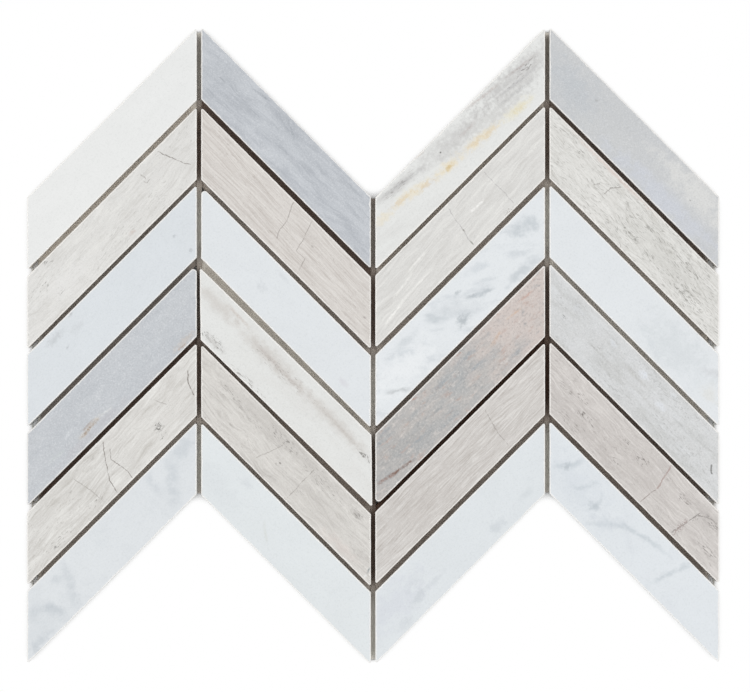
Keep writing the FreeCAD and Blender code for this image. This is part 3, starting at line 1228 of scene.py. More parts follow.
def column_two() -> list[Stone]:
    """The second column from the left, from the top down."""
    slate = srgb(164, 169, 176)
    mist = srgb(209, 213, 218)
    taupe = srgb(192, 183, 175)
    streaked = srgb(134, 130, 126)
    return [
        Stone(2, 1, marble_look(
            "blue_grey_marble", srgb(194, 198, 204),
            Mottle(slate, 5, 0.5, stretch=6, steeper=-3, detail=6, swirl=0.35),
            Mottle(mist, 4, 0.55, stretch=5, steeper=4, detail=6, swirl=0.35, layer=1),
            Grain(slate, mist, line=0.7, band=3, length=11, steeper=-3, wander=2.4, strength=0.3),
            Cloud((-42, 3), (16, 9), srgb(176, 181, 187), 0.45, grit=6),
            Cloud((-8, 8), (18, 3.6), slate, 0.35, grit=3),
            Cloud((-16, -5.4), (8, 2.6), mist, 0.5, grit=3),
            Cloud((4, 0.8), (11, 2.2), mist, 0.3, grit=3),
            Cloud((14, -6), (11, 2.4), mist, 0.25, grit=3),
            Cloud((0, 3), (24, 10), srgb(184, 189, 195), 0.3),
            wisp((-30, 7.4), (-17, 9.8), srgb(146, 152, 160), 0.7, 0.7),
            wisp((-9, 9.6), (1, 4.6), srgb(148, 154, 162), 0.65, 0.7),
            wisp((-14, 8.6), (-3, 5.4), slate, 0.6, 0.8),
            wisp((-42.4, 1.2), (-38, 1.4), srgb(146, 150, 156), 0.7, 0.5),
            wisp((30, 2.6), (48, 0.4), slate, 0.5, 1.2),
            Grit(0.26, 0.6),
            painted_joint_light=0.25,
        ), slip=0.4),
        Stone(2, 2, grain_look(
            "pink_grain_stone", srgb(217, 212, 207),
            Grain(
                srgb(197, 190, 184), srgb(231, 227, 222), line=0.5, band=2.6, length=12, wander=0.6,
                steeper=1, strength=0.7, band_strength=0.4,
            ),
            Flecks(srgb(172, 163, 156), 0.45, steeper=1, sparse=0.11),
            Cloud((13.8, 2.4), (0.9, 0.7), srgb(166, 160, 154), 0.7, grit=0.8),
            Cloud((51, -3.2), (1.3, 0.7), srgb(160, 150, 148), 0.7, grit=0.8),
            Crack(((-5.9, 10.6), (-3.9, 6.3), (-2, 2.8), (-1.3, -3.2), (0.3, -6.2)), 0.6),
            Crack(((5.6, 10.6), (7.3, 5.4), (8.6, 2), (10, -3.8), (15, -3.6), (17, -9.6)), 0.55),
            painted_joint_light=0.45,
        ), slip=0.05),
        Stone(2, 3, white_look(
            srgb(230, 234, 237),
            Cloud((-13.4, -1.3), (3.6, 2.6), srgb(206, 210, 214), 0.45, grit=2),
            Cloud((-10, 8.4), (6, 1.6), srgb(212, 216, 219), 0.5),
            Cloud((40, -5.6), (4, 2), srgb(214, 212, 218), 0.5),
        ), slip=0.05, worn=Worn.LEFT),
        Stone(2, 4, marble_look(
            "taupe_streaked_marble", srgb(232, 233, 231),
            Mottle(srgb(223, 222, 219), 6, 0.5, stretch=4),
            Cloud((-46, 5.2), (18, 4.4), taupe, 0.4, ragged=0.3, grit=3.4),
            Cloud((-14, 4.4), (30, 5), taupe, 0.45, ragged=0.3, grit=3.4),
            Cloud((24, 3.8), (34, 4.4), taupe, 0.4, ragged=0.3, grit=3.4),
            wisp((-26, 4.6), (10, 3.4), srgb(172, 160, 153), 0.5, 1.3),
            wisp((12, 4.4), (46, 3), srgb(182, 173, 165), 0.45, 1.3),
            wisp((-44, 8), (-28, 7.2), srgb(190, 172, 160), 0.55, 1.2),
            Flecks(srgb(146, 140, 134), 0.6, (-6, 4), (26, 3.4), steeper=0, sparse=0.1),
            Flecks(srgb(120, 116, 112), 0.8, (44.6, 2.2), (5, 1.4), sparse=0.04),
            Flecks(srgb(104, 102, 98), 0.9, (-36, -7.6), (6.4, 2.4), sparse=0.03),
            Cloud((-36, -8), (8, 2.2), srgb(180, 177, 173), 0.4, grit=1.2),
            Flecks(srgb(150, 146, 142), 0.7, (-14, -9.6), (12, 1.3), sparse=0.05),
            Grit(0.16),
            painted_joint_light=0.75,
        ), slip=-0.3, lift=0.5),
        Stone(2, 5, grain_look(
            "wood_grain_stone", srgb(217, 214, 209),
            Grain(
                srgb(193, 189, 184), srgb(231, 228, 223), line=0.7, length=9, wander=2, steeper=2,
                strength=0.6,
            ),
            Cloud((-12, 7), (62, 5.4), srgb(196, 192, 187), 0.5, grit=5),
            Flecks(srgb(160, 156, 151), 0.45, steeper=2, sparse=0.1, cluster=8),
            Flecks(streaked, 0.8, (-9, 6.9), (10, 2.4), sparse=0.05),
            Flecks(streaked, 0.7, (-40, 5.6), (7, 1.8), sparse=0.06),
            Flecks(streaked, 0.8, (36, 6.6), (4.4, 1.8), sparse=0.03),
            Flecks(streaked, 0.6, (14, 6), (18, 3.4), sparse=0.09),
            Flecks(streaked, 0.6, (-30, 3.4), (18, 2.6), sparse=0.1),
            Flecks(streaked, 0.7, (12.4, -3.9), (2.4, 1.6), sparse=0.03),
            Cloud((36, 6.8), (4.6, 1.8), srgb(166, 162, 157), 0.5, grit=1.2),
            Cloud((-2.6, -1), (1.2, 0.5), srgb(120, 116, 112), 0.8, grit=0.9),
            Cloud((-29, -4.4), (2, 0.8), srgb(164, 160, 155), 0.6, grit=0.9),
            Crack(((9.9, 7.6), (9.8, 1), (10.2, -5), (10, -9.9)), 0.55, broken=0.9),
            Crack(((-6.9, 5.6), (-9.5, -1.3), (-11.6, -6.9)), 0.4),
            wisp((56.4, -4.6), (57.6, -8.8), srgb(118, 130, 134), 0.95, 0.8),
            Cloud((57.6, -9.4), (1, 1.3), srgb(240, 240, 238), 0.8, grit=0.9),
            Cloud((24, -3), (36, 9), srgb(203, 199, 194), 0.3),
            Cloud((42, -8), (16, 3), srgb(222, 210, 204), 0.4, grit=3),
        ), slip=-0.15),
        Stone(2, 6, white_look(
            srgb(230, 235, 237),
            Streak((-15, 1.1), (-5, -6.4), 0.9, srgb(212, 215, 208), 0.45, grit=0.1, fade=0.3),
            Cloud((-31, 6), (5, 3), srgb(214, 219, 223), 0.5),
            Cloud((-42, -3), (18, 9), srgb(220, 225, 228), 0.5),
        )),
    ]


def column_three() -> list[Stone]:
    """The third column from the left, from the top down."""
    ash = srgb(190, 188, 187)
    smoke = srgb(196, 203, 208)
    straw = srgb(238, 226, 198)
    gold = srgb(222, 194, 144)
    steel = srgb(152, 161, 168)
    tan = srgb(212, 178, 150)
    return [
        Stone(3, 1, marble_look(
            "gold_veined_marble", srgb(233, 234, 232),
            Cloud((-30, 7.6), (15, 3), ash, 0.6, angle=-7, grit=3),
            Cloud((0, 4.4), (28, 5.4), ash, 0.46, angle=-4, grit=3.5),
            Cloud((38, 4.4), (28, 7.6), ash, 0.48, angle=-5, grit=3.5),
            Mottle(srgb(214, 213, 211), 5, 0.45, stretch=5, steeper=-5, detail=6, low=-0.05),
            wisp((-42, 9.4), (-14, 5.2), srgb(176, 176, 176), 0.6, 1.3),
            wisp((-18, 10.6), (-11, 10.4), srgb(196, 176, 166), 0.6, 0.6),
            wisp((2, 3.6), (14, 3.8), srgb(186, 172, 168), 0.5, 1.1),
            wisp((12, 10.4), (34, 7.8), srgb(184, 168, 162), 0.6, 1),
            wisp((32, 8.2), (54, 5.4), srgb(172, 158, 154), 0.65, 0.9),
            Cloud((38, 6), (26, 5.4), srgb(168, 166, 165), 0.2, angle=-5, ragged=1.3, grit=1.3),
            Cloud((0, 7.4), (30, 4), srgb(176, 174, 173), 0.14, angle=-4, ragged=1.3, grit=1.3),
            Cloud((24, 0.4), (30, 4.6), srgb(198, 197, 194), 0.42, angle=-5, ragged=1, grit=1.6),
            wisp((16, 6.2), (44, 3.4), srgb(246, 246, 244), 0.4, 0.8),
            wisp((20, 1.8), (50, -1.6), srgb(178, 178, 178), 0.5, 1.2),
            wisp((26, 4.2), (52, 1.4), srgb(182, 182, 184), 0.5, 0.9),
            Flecks(srgb(128, 124, 122), 0.8, (43, 4.6), (10, 3), steeper=-4, sparse=0.06),
            Flecks(srgb(150, 146, 144), 0.6, (-30, 7.6), (13, 2.2), steeper=-6),
            Cloud((-44, 2), (7, 3), straw, 0.5, grit=2.6),
            Cloud((-28, 1.2), (15, 3.2), straw, 0.6, angle=-8, grit=2.6),
            Cloud((-9, -2), (12, 3.4), straw, 0.75, angle=-3, grit=2.6),
            Cloud((10, -3), (13, 3.2), straw, 0.7, angle=-6, grit=2.6),
            Cloud((30, -5.4), (11, 3.4), srgb(236, 229, 200), 0.6, angle=-4, grit=2.6),
            Cloud((-33, 2.2), (7, 1.6), gold, 0.36, angle=-6, ragged=0.8, grit=1.4),
            Cloud((-21.5, -0.4), (5.6, 1.8), gold, 0.4, angle=-8, ragged=0.8, grit=1.4),
            Cloud((-8.8, -2.2), (3.4, 1.5), srgb(212, 184, 122), 0.7, grit=1.4),
            Cloud((6.4, -2.6), (6, 1.6), gold, 0.34, ragged=0.8, grit=1.4),
            Cloud((14, -4), (5.6, 1.4), gold, 0.35, ragged=0.8, grit=1.4),
            Cloud((30.5, -5.8), (5, 1.8), srgb(226, 210, 158), 0.34, ragged=0.8, grit=1.4),
            Cloud((-7.1, 4.9), (0.7, 0.6), srgb(60, 55, 50), 0.85, ragged=0.1),
            Grit(0.16),
            painted_joint_light=1.2,
        )),
        Stone(3, 2, grain_look(
            "wood_grain_stone", srgb(223, 222, 219),
            Grain(
                srgb(208, 206, 202), srgb(238, 237, 233), line=0.8, length=12, wander=1.4, steeper=3,
                strength=0.5, band_strength=0.35,
            ),
            Flecks(srgb(184, 182, 178), 0.3, sparse=0.13),
            wisp((-56, -7.4), (-36, -4.8), srgb(250, 249, 245), 1, 0.8),
            wisp((-42, -5), (-20, -4.2), srgb(248, 247, 243), 1, 0.7),
            wisp((-32, 2.4), (-16, 2.8), srgb(248, 247, 243), 1, 0.8),
            wisp((-44, -1.8), (-26, 1), srgb(246, 245, 241), 0.9, 0.7),
            wisp((6, 1.4), (17, 1), srgb(252, 251, 248), 1, 0.9),
            wisp((-13, 4.8), (30, 5.6), srgb(240, 239, 235), 0.6, 0.6),
            wisp((40, 1), (53, 2.4), srgb(242, 241, 237), 0.7, 0.6),
            Crack(
                ((2.2, 9.3), (0.9, 4.7), (0.1, -1.6), (-1.2, -5.8), (-1.4, -9.9)), 0.9, colour=ash,
                broken=0.9, gaps=1.3,
            ),
            Crack(
                ((23.9, 9.8), (23.8, 4), (23.9, -2), (23.6, -9.4)), 0.9, colour=ash, broken=0.9, gaps=1.3,
            ),
            Cloud((0, -2), (0.5, 1.3), srgb(140, 136, 130), 0.8, ragged=0.2),
            Cloud((-1.3, -8.4), (0.5, 1.5), srgb(150, 152, 142), 0.8, ragged=0.2),
            Flecks(srgb(150, 142, 136), 0.8, (20, -9.8), (3.4, 1), length=1.4, sparse=0.02),
        ), slip=0.2),
        Stone(3, 3, white_look(
            srgb(233, 237, 240),
            Mottle(srgb(206, 212, 217), 6, 0.6, stretch=2.6, steeper=-34, detail=5, low=0, layer=1),
            Cloud((-37, -2), (27, 10), srgb(240, 243, 245), 0.9),
            Cloud((-2, 0), (17, 5), srgb(212, 217, 221), 0.5, angle=-40),
            Cloud((43, 5.4), (9, 5.6), smoke, 0.75, angle=-30),
            Cloud((34, -1.6), (8, 2.4), srgb(206, 212, 217), 0.6, angle=-38),
            Cloud((29, -7.8), (11, 2.8), smoke, 0.7, grit=3),
            Cloud((16, 7), (8, 2.6), srgb(210, 216, 221), 0.6, angle=-20),
            Cloud((-3.6, -5.2), (4.4, 3.4), srgb(172, 180, 185), 0.75, grit=2),
            Cloud((-12, 4.6), (7, 3.4), smoke, 0.65, angle=-42, grit=3),
            Cloud((-27, 6), (8, 2.8), srgb(208, 214, 218), 0.6),
            Cloud((3.2, 4.8), (2.4, 1.4), srgb(178, 186, 191), 0.65, grit=1.6),
            vein(((2.6, 1.2), (9.6, -1.8), (17.4, -5.2)), srgb(154, 163, 169), 0.8, 1.3),
            Cloud((9.6, -1.8), (8, 2.2), srgb(204, 210, 215), 0.7, angle=-24),
            vein(((-51, -3), (-45, -6.4), (-39, -11.4)), srgb(190, 194, 196), 0.7, 1.5),
            slot="grey_veined_white_marble",
        )),
        Stone(3, 4, marble_look(
            "rose_grey_marble", srgb(184, 184, 183),
            Mottle(srgb(168, 173, 176), 4, 0.6, stretch=3.6, steeper=-3, detail=6, swirl=0.3),
            Mottle(srgb(202, 194, 188), 3.4, 0.6, stretch=3.2, steeper=-3, detail=6, layer=1),
            Cloud((-36, -1), (28, 11), srgb(168, 168, 167), 0.45),
            Fade((-4, 0), (40, 2), srgb(214, 202, 196), 0.85, ragged=0.5),
            Mottle(srgb(190, 158, 144), 2.4, 0.5, stretch=2.6, detail=6, low=0.04, high=0.22, layer=2),
            Mottle(srgb(146, 152, 156), 1.8, 0.5, stretch=2.2, detail=6, low=0.04, high=0.22, layer=3),
            Mottle(srgb(228, 220, 214), 1.8, 0.5, stretch=2.2, detail=6, low=0.04, high=0.22, layer=4),
            wisp((-41, 8.6), (-33, 8.8), steel, 0.7, 1.3),
            wisp((-12, 7.4), (-1, 5.2), steel, 0.7, 1.2),
            wisp((2, 7.6), (18, 6.2), steel, 0.8, 1.4),
            wisp((6, 1.4), (16, 0.6), steel, 0.65, 1),
            wisp((-36, -3.6), (-24, -4.4), steel, 0.6, 1.1),
            wisp((-22, -7.4), (-6, -8), steel, 0.6, 1.3),
            wisp((20, -6.8), (38, -8.2), steel, 0.6, 1.4),
            wisp((20, 2.2), (30, 4.4), tan, 0.65, 1),
            wisp((33, 6), (43, 4.8), tan, 0.6, 0.9),
            wisp((44, 7.6), (52, 6.4), srgb(196, 148, 130), 0.6, 0.8),
            wisp((28, -1), (36, 1.6), srgb(224, 214, 208), 0.7, 0.9),
            wisp((-40, -2.4), (-32, -3), srgb(200, 170, 158), 0.6, 0.8),
            wisp((-20, 10), (-16, 9.6), srgb(176, 120, 100), 0.7, 0.6),
            wisp((7, 10), (11, 9.6), srgb(176, 128, 108), 0.7, 0.6),
            wisp((-57, -4.6), (-45, -7.2), srgb(138, 106, 94), 0.95, 1.1),
            wisp((-51, -6.2), (-34, -8.8), srgb(124, 94, 82), 1, 1),
            Grit(0.5, 1, srgb(148, 148, 148), srgb(224, 220, 216)),
            painted_joint_light=0.12,
        ), worn=Worn.LEFT),
        Stone(3, 5, grain_look(
            "beige_lined_stone", srgb(210, 206, 202),
            Grain(
                srgb(188, 182, 176), srgb(229, 226, 222), line=0.6, band=1.8, length=9, wander=0.9,
                steeper=0, strength=0.75, band_strength=0.35,
            ),
            Flecks(srgb(166, 159, 153), 0.35, length=3, width=0.35, steeper=0, sparse=0.12),
            Cloud((-24, 0), (38, 11), srgb(197, 191, 186), 0.4),
            Cloud((6, -3.2), (3.6, 1.2), srgb(228, 225, 221), 0.7, ragged=0.2),
            Crack(((24, 9), (22.4, 3.9), (20.9, -2.2), (20.2, -9)), 0.5, broken=0.9, gaps=1.3),
            painted_joint_light=0.3,
        ), slip=0.15),
        Stone(3, 6, white_look(
            srgb(228, 233, 236),
            Cloud((-38, 1), (26, 11), srgb(218, 222, 229), 0.7),
            Cloud((-29, -3.8), (6.4, 2.6), srgb(202, 208, 213), 0.55, grit=3.4),
            Cloud((-20, -3.6), (11, 2), srgb(210, 215, 220), 0.5, grit=3.4),
            Cloud((-41, -8), (6, 2.6), srgb(208, 213, 218), 0.5, grit=3.4),
            Cloud((-27, 2.2), (8, 3.6), srgb(212, 217, 222), 0.5, grit=4),
            Cloud((16.4, -6.2), (6.4, 3.4), srgb(206, 212, 217), 0.6, grit=3.4),
            Cloud((35, -5.2), (4.4, 2.8), srgb(210, 216, 220), 0.5, grit=3),
        )),
    ]


def column_four() -> list[Stone]:
    """The fourth column from the left, from the top down."""
    haze = srgb(191, 200, 206)
    pepper = srgb(138, 136, 130)
    umber = srgb(122, 115, 111)
    return [
        Stone(4, 1, marble_look(
            "pale_grey_marble", srgb(203, 205, 207),
            Mottle(srgb(211, 212, 211), 8, 0.5, stretch=3),
            Mottle(srgb(194, 197, 201), 8, 0.4, stretch=3, detail=5, layer=1),
            Cloud((-38, 0), (22, 11), srgb(192, 197, 202), 0.6),
            Cloud((26, -7), (44, 7), srgb(206, 210, 219), 0.75),
            Cloud((34, 5.6), (36, 9), srgb(222, 222, 220), 0.85),
            Cloud((-26, 3), (0.9, 0.7), srgb(160, 162, 160), 0.6, grit=0.8),
            Cloud((33, 1), (0.6, 0.5), srgb(120, 118, 114), 0.6, grit=0.8),
            Grit(0.26, 0.6),
            painted_joint_light=0.25,
        )),
        Stone(4, 2, grain_look(
            "cream_stone", srgb(224, 223, 219),
            Grain(
                srgb(198, 196, 190), srgb(238, 237, 233), line=0.75, band=2.8, length=8, wander=2,
                steeper=1, strength=0.65, band_strength=0.4,
            ),
            Cloud((20, 0), (38, 9), srgb(206, 205, 200), 0.6, grit=5),
            Flecks(pepper, 0.5, length=2.8, width=0.34, steeper=1, sparse=0.07, clear=-0.1),
            Flecks(pepper, 0.8, (1, -3.4), (6, 1.6), length=1.8, sparse=0.02),
            Flecks(pepper, 0.7, (8, 4.4), (10, 2.2), length=2.6, sparse=0.05),
            Flecks(pepper, 0.8, (28, 4), (12, 2.6), length=2.6, sparse=0.05),
            Flecks(pepper, 0.9, (36, -5), (8, 2.6), length=1.8, sparse=0.03),
            Flecks(pepper, 0.7, (16, -4.4), (10, 2.2), length=2.4, sparse=0.06),
            Cloud((-36, 1), (22, 11), srgb(231, 230, 226), 0.45),
            Cloud((-22, 10.2), (34, 1.7), srgb(222, 204, 196), 0.6, grit=2),
            Flecks(pepper, 0.7, (-38.6, 6.4), (2.6, 1.4), length=1.2, sparse=0.03),
            Crack(((-16.2, 8), (-17.4, 6.4), (-19, 4.6), (-19.2, 0.7)), 0.6, 0.4),
            Crack(((-23.6, 2.6), (-24.6, 1.4), (-25.2, 0.2)), 0.45, 0.4),
            painted_joint_light=0.6,
        )),
        Stone(4, 3, white_look(
            srgb(231, 235, 238),
            Cloud((26, 0), (26, 12), srgb(218, 223, 226), 0.8),
            vein(((50, 6.4), (44, 3), (38, 0.4)), srgb(204, 206, 209), 0.5, 2.6),
            Cloud((17, -6.6), (8, 1.8), srgb(216, 221, 225), 0.6, angle=-12),
            Cloud((50, -4), (6, 5), srgb(226, 226, 222), 0.6),
        )),
        Stone(4, 4, marble_look(
            "pale_grey_marble", srgb(212, 213, 213),
            Mottle(srgb(225, 227, 229), 4, 0.6, stretch=3.4, detail=6, swirl=0.2),
            Mottle(srgb(193, 194, 192), 3.4, 0.6, stretch=4.6, detail=6, low=-0.05, layer=1),
            Cloud((0, 5.9), (3.2, 2.6), srgb(228, 232, 238), 0.9, grit=1.6),
            Cloud((-19, 5.9), (2.6, 2), srgb(226, 230, 235), 0.7, grit=1.6),
            Cloud((14.4, 1.5), (3.8, 2), srgb(226, 229, 234), 0.8, grit=1.6),
            Cloud((-40, 5.6), (7, 2.2), srgb(222, 225, 229), 0.4, grit=2),
            Cloud((16, 8.6), (2.6, 1.4), srgb(226, 229, 232), 0.7, grit=1.6),
            wisp((-12, 3.2), (10, 2.6), srgb(190, 189, 186), 0.6, 0.8),
            wisp((-30, -0.8), (-4, -1.6), srgb(188, 188, 186), 0.6, 0.9),
            wisp((-4, -1), (22, -1.4), srgb(194, 194, 192), 0.55, 0.9),
            wisp((20, 2.2), (36, 1), srgb(184, 185, 184), 0.6, 0.9),
            Flecks(srgb(168, 168, 166), 0.45, length=1.6, width=0.45, steeper=0, sparse=0.08),
            Flecks(srgb(120, 120, 118), 0.8, (-43, -1), (3.6, 1.2), sparse=0.05),
            Crack(((47.8, -0.8), (49.4, -2.4), (51, -3.8)), 0.9, 0.5, srgb(112, 112, 110)),
            Grit(0.26, 0.7),
            painted_joint_light=0.75,
        )),
        Stone(4, 5, grain_look(
            "pink_grain_stone", srgb(208, 203, 199),
            Grain(
                srgb(190, 184, 180), srgb(226, 221, 217), line=0.75, length=9, wander=1.6, steeper=2,
                strength=0.65,
            ),
            Cloud((-26, -6), (30, 5), srgb(190, 184, 180), 0.5, grit=4),
            Cloud((3, 0), (24, 11), srgb(195, 189, 185), 0.35),
            Cloud((44, 6), (16, 5), srgb(190, 185, 181), 0.5, grit=4),
            Flecks(srgb(158, 151, 147), 0.45, length=2.8, steeper=2, sparse=0.09),
            Flecks(umber, 0.7, (-43, 1.7), (5, 1.4), length=2.6, sparse=0.05),
            Flecks(umber, 0.8, (-36, 3.8), (5, 1.6), length=2.6, sparse=0.04),
            Flecks(umber, 0.9, (-30.4, -1), (4, 2), length=2.2, steeper=14, sparse=0.01),
            Flecks(umber, 0.8, (-25, -1), (2.6, 1.2), length=2.2, sparse=0.03),
            Flecks(umber, 0.7, (-8.6, 3.9), (3.4, 1.4), length=2.4, sparse=0.04),
            Flecks(umber, 0.8, (1, 3.2), (4.6, 3), length=2, steeper=12, sparse=0.04),
            Flecks(umber, 0.6, (-6.5, -5), (4, 1.4), length=2.4, sparse=0.06),
            Flecks(umber, 0.6, (-30, -7.2), (12, 2.6), length=3, sparse=0.07),
            Flecks(umber, 0.8, (26.5, 4), (4.6, 1.8), length=1.8, sparse=0.03),
            Flecks(umber, 0.9, (42, 5.2), (5, 2.2), length=2.4, sparse=0.03),
            Flecks(umber, 0.8, (49, -5), (7, 2), length=2.4, sparse=0.04),
            Crack(((12.2, 10.8), (13.5, 4.7), (14.9, -1.3)), 0.75, 0.5, srgb(166, 142, 136), broken=0.3),
            Crack(((14.9, -1.3), (14.1, -4.4), (13.8, -10.2)), 0.8, 0.3, srgb(132, 116, 110)),
            Crack(((35.3, 5), (34.2, -2.2), (32.3, -10.2)), 0.8, 0.3, umber, broken=0.9, gaps=1.1),
            Flecks(srgb(146, 124, 120), 0.8, (33.6, -5.4), (1.5, 5.4), length=0.7, width=0.5, sparse=-0.02),
            Flecks(umber, 0.6, (35.6, 2.4), (1.3, 3.6), length=0.7, width=0.5, sparse=0.02),
            Crack(((35.3, 3), (39, 5.6), (46, 7.4)), 0.6, 0.35, umber, broken=0.9, gaps=1.1),
            painted_joint_light=0.2,
        ), slip=0.15),
        Stone(4, 6, white_look(
            srgb(229, 234, 238),
            Mottle(srgb(214, 219, 225), 8, 0.4, stretch=2.2, steeper=35, low=0, high=0.25, layer=1),
            Cloud((-36, 0), (26, 11), srgb(217, 223, 229), 0.6),
            vein(((-25, -14), (-15.6, -4.6), (-8.2, 1.1), (-0.4, 3.9), (21, 6.4)), haze, 0.6, 1.8),
            Cloud((-14, -2), (11, 4.4), srgb(212, 218, 224), 0.7, angle=36),
            vein(((25, 14), (21.6, 4.4), (18.8, -3), (16.6, -10)), haze, 0.55, 2),
            vein(((-29, 9.4), (-31, 3), (-34, -1), (-38.6, -2.8)), haze, 0.45, 2),
            Cloud((-22.6, -1.4), (3.4, 3), srgb(182, 191, 198), 0.55, grit=2.2),
            vein(((-25.6, 7), (-22.8, -0.6), (-25.4, -7)), haze, 0.4, 1.6),
            Cloud((-43.6, 2.6), (2, 2.4), srgb(174, 182, 188), 0.6, grit=1.6),
            vein(((-39.6, 12), (-43, 3.4), (-49.4, -3)), haze, 0.55, 2),
            slot="grey_veined_white_marble",
        )),
    ]


# The net and the adhesive


@dataclass
class Net:
    """The glass-fibre net that the stones are bonded to: pairs of strands twisted round cross yarns."""

    sides: int = 5
    rings_per_cell: int = 4
    strand_width: float = 0.42 * MM
    strand_height: float = 0.22 * MM
    cross_height: float = 0.2 * MM
    sway: float = 0.19 * MM
    lift: float = 0.125 * MM
    fray: float = 0.7 * MM
    shortest: float = 2.0 * MM
    waver: float = 0.05 * MM
    waver_rate: float = 2.1
    outline_points: int = 1201
    sharp_past: float = 60.0
    seed: int = 7

    def reach(self) -> float:
        """Half the height of the net along any upright line."""
        end = (LAYOUT.face - 2 * LAYOUT.net_inset) / math.cos(LAYOUT.slope)
        return ((LAYOUT.rows - 1) * LAYOUT.row_pitch() + end) / 2

    def half_width(self) -> float:
        """Half the width of the net."""
        return LAYOUT.columns * LAYOUT.column_pitch / 2 - LAYOUT.joint() / 2 - LAYOUT.net_inset

    def rise(self, x: np.ndarray) -> np.ndarray:
        """How far up the net's middle line lies at x: it zigzags with the columns."""
        column = np.clip(np.floor(x / LAYOUT.column_pitch + LAYOUT.columns / 2), 0, LAYOUT.columns - 1)
        middle = (column + 0.5 - LAYOUT.columns / 2) * LAYOUT.column_pitch
        direction = 1 - 2 * (column % 2)
        return (x - middle) * direction * math.tan(LAYOUT.slope)

    def uprights(self) -> np.ndarray:
        """Where the upright pairs stand: evenly within each column, with one under each joint."""
        lines = []
        edge = self.half_width() - LAYOUT.net_yarn / 2
        for column in range(LAYOUT.columns):
            left = (column - LAYOUT.columns / 2) * LAYOUT.column_pitch
            first, last = np.clip([left, left + LAYOUT.column_pitch], -edge, edge)
            cells = max(1, round((last - first) / LAYOUT.net_cell))
            lines.append(np.linspace(first, last, cells + 1))
        return np.unique(np.concatenate(lines).round(7))

    def tube(self, centres: np.ndarray, sideways: np.ndarray, width: float, height: float) -> np.ndarray:
        """Rings round a line.

        At angle t a ring stands -cos(t) width / 2 sideways and sin(t) height / 2 up from the line.

        Args:
            centres: the line's points.
            sideways: the level direction to the line's left.
            width: the tube's width.
            height: the tube's height.

        Returns:
            An array of ring, place and x, y, z.
        """
        angle = np.linspace(0, 2 * math.pi, self.sides, endpoint=False)
        flat = -np.cos(angle)[:, None] * width / 2 * sideways
        tall = np.sin(angle)[:, None] * height / 2 * np.array([0.0, 0.0, 1.0])
        return centres[:, None, :] + (flat + tall)[None, :, :]

    def add_uprights(self, net: Tubes, chance: np.random.Generator) -> None:
        """Adds the upright pairs.

        A pair's two strands stand sway times a sine apart and lift times a cosine above and below
        the middle of the net, with half a turn in each cell, so that at each cross yarn one passes
        over it and one under.

        Args:
            net: where they are added.
            chance: the source of their uneven ends.
        """
        middle = LAYOUT.net_thick / 2
        step = LAYOUT.net_cell / self.rings_per_cell
        left = np.array([-1.0, 0.0, 0.0])
        for x in self.uprights():
            centre = float(self.rise(np.array([x]))[0])
            low, high = centre - self.reach(), centre + self.reach()
            inner = np.arange(math.ceil(low / step) + 1, math.floor(high / step)) * step
            for side in (-1, 1):
                ends = chance.uniform(0.0, self.fray, 2)
                y = np.concatenate([[low + ends[0]], inner, [high - ends[1]]])
                twist = math.pi * y / LAYOUT.net_cell
                across = x + side * self.sway * np.sin(twist)
                points = np.column_stack([across, y, middle + side * self.lift * np.cos(twist)])
                net.add(self.tube(points, left, self.strand_width, self.strand_height))

    def add_crossings(self, net: Tubes, chance: np.random.Generator) -> None:
        """Adds the cross yarns, each from edge to edge of the zigzag outline at its height.

        Args:
            net: where they are added.
            chance: the source of their uneven ends.
        """
        middle = LAYOUT.net_thick / 2
        reach, half = self.reach(), self.half_width()
        tallest = LAYOUT.column_pitch / 2 * math.tan(LAYOUT.slope) + reach
        fine = np.linspace(-half, half, self.outline_points)
        last = math.floor(tallest / LAYOUT.net_cell)
        for y in np.arange(-last, last + 1) * LAYOUT.net_cell:
            inside = np.abs(y - self.rise(fine)) < reach
            edges = np.flatnonzero(np.diff(np.concatenate([[0], inside.astype(int), [0]])))
            for start, stop in edges.reshape(-1, 2):
                ends = chance.uniform(0.0, self.fray, 2)
                left, right = fine[start] + ends[0], fine[stop - 1] - ends[1]
                if right - left < self.shortest:
                    continue
                x = np.linspace(left, right, max(3, int((right - left) / LAYOUT.net_cell * 2)))
                waver = self.waver * np.sin(self.waver_rate * (x + y) / LAYOUT.net_cell)
                points = np.column_stack([x, y + waver, np.full_like(x, middle)])
                net.add(self.tube(points, np.array([0.0, 1.0, 0.0]), LAYOUT.net_yarn, self.cross_height))

    def finish(self) -> bpy.types.Material:
        """White glass fibre in a matt coating, with its fibres as fine lines."""
        graph = Graph(bpy.data.materials.new("glass_fibre"))
        place = graph.millimetres()
        fibres = graph.noise(place, 0.16, 2.0, 0.6)
        blotch = graph.noise(place, 14.0, 3.0, 0.6)
        colour = graph.mix(graph.smooth(fibres, -0.2, 0.2), srgb(206, 205, 198), srgb(236, 236, 231))
        colour = graph.mix(graph.smooth(blotch, -0.05, 0.25) * 0.5, colour, srgb(205, 200, 184))
        return graph.surface(colour, 0.62 + 0.2 * fibres, graph.bump(fibres, 0.6, 0.05 * MM))

    def build(self) -> bpy.types.Object:
        """Makes the net, which stands for its four nodes."""
        chance = np.random.default_rng(self.seed)
        net = Tubes()
        self.add_uprights(net, chance)
        self.add_crossings(net, chance)
        piece = net.piece("glass_fibre_net", self.sharp_past, self.finish())
        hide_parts(*[f"net_column{column}" for column in range(1, LAYOUT.columns + 1)])
        return piece


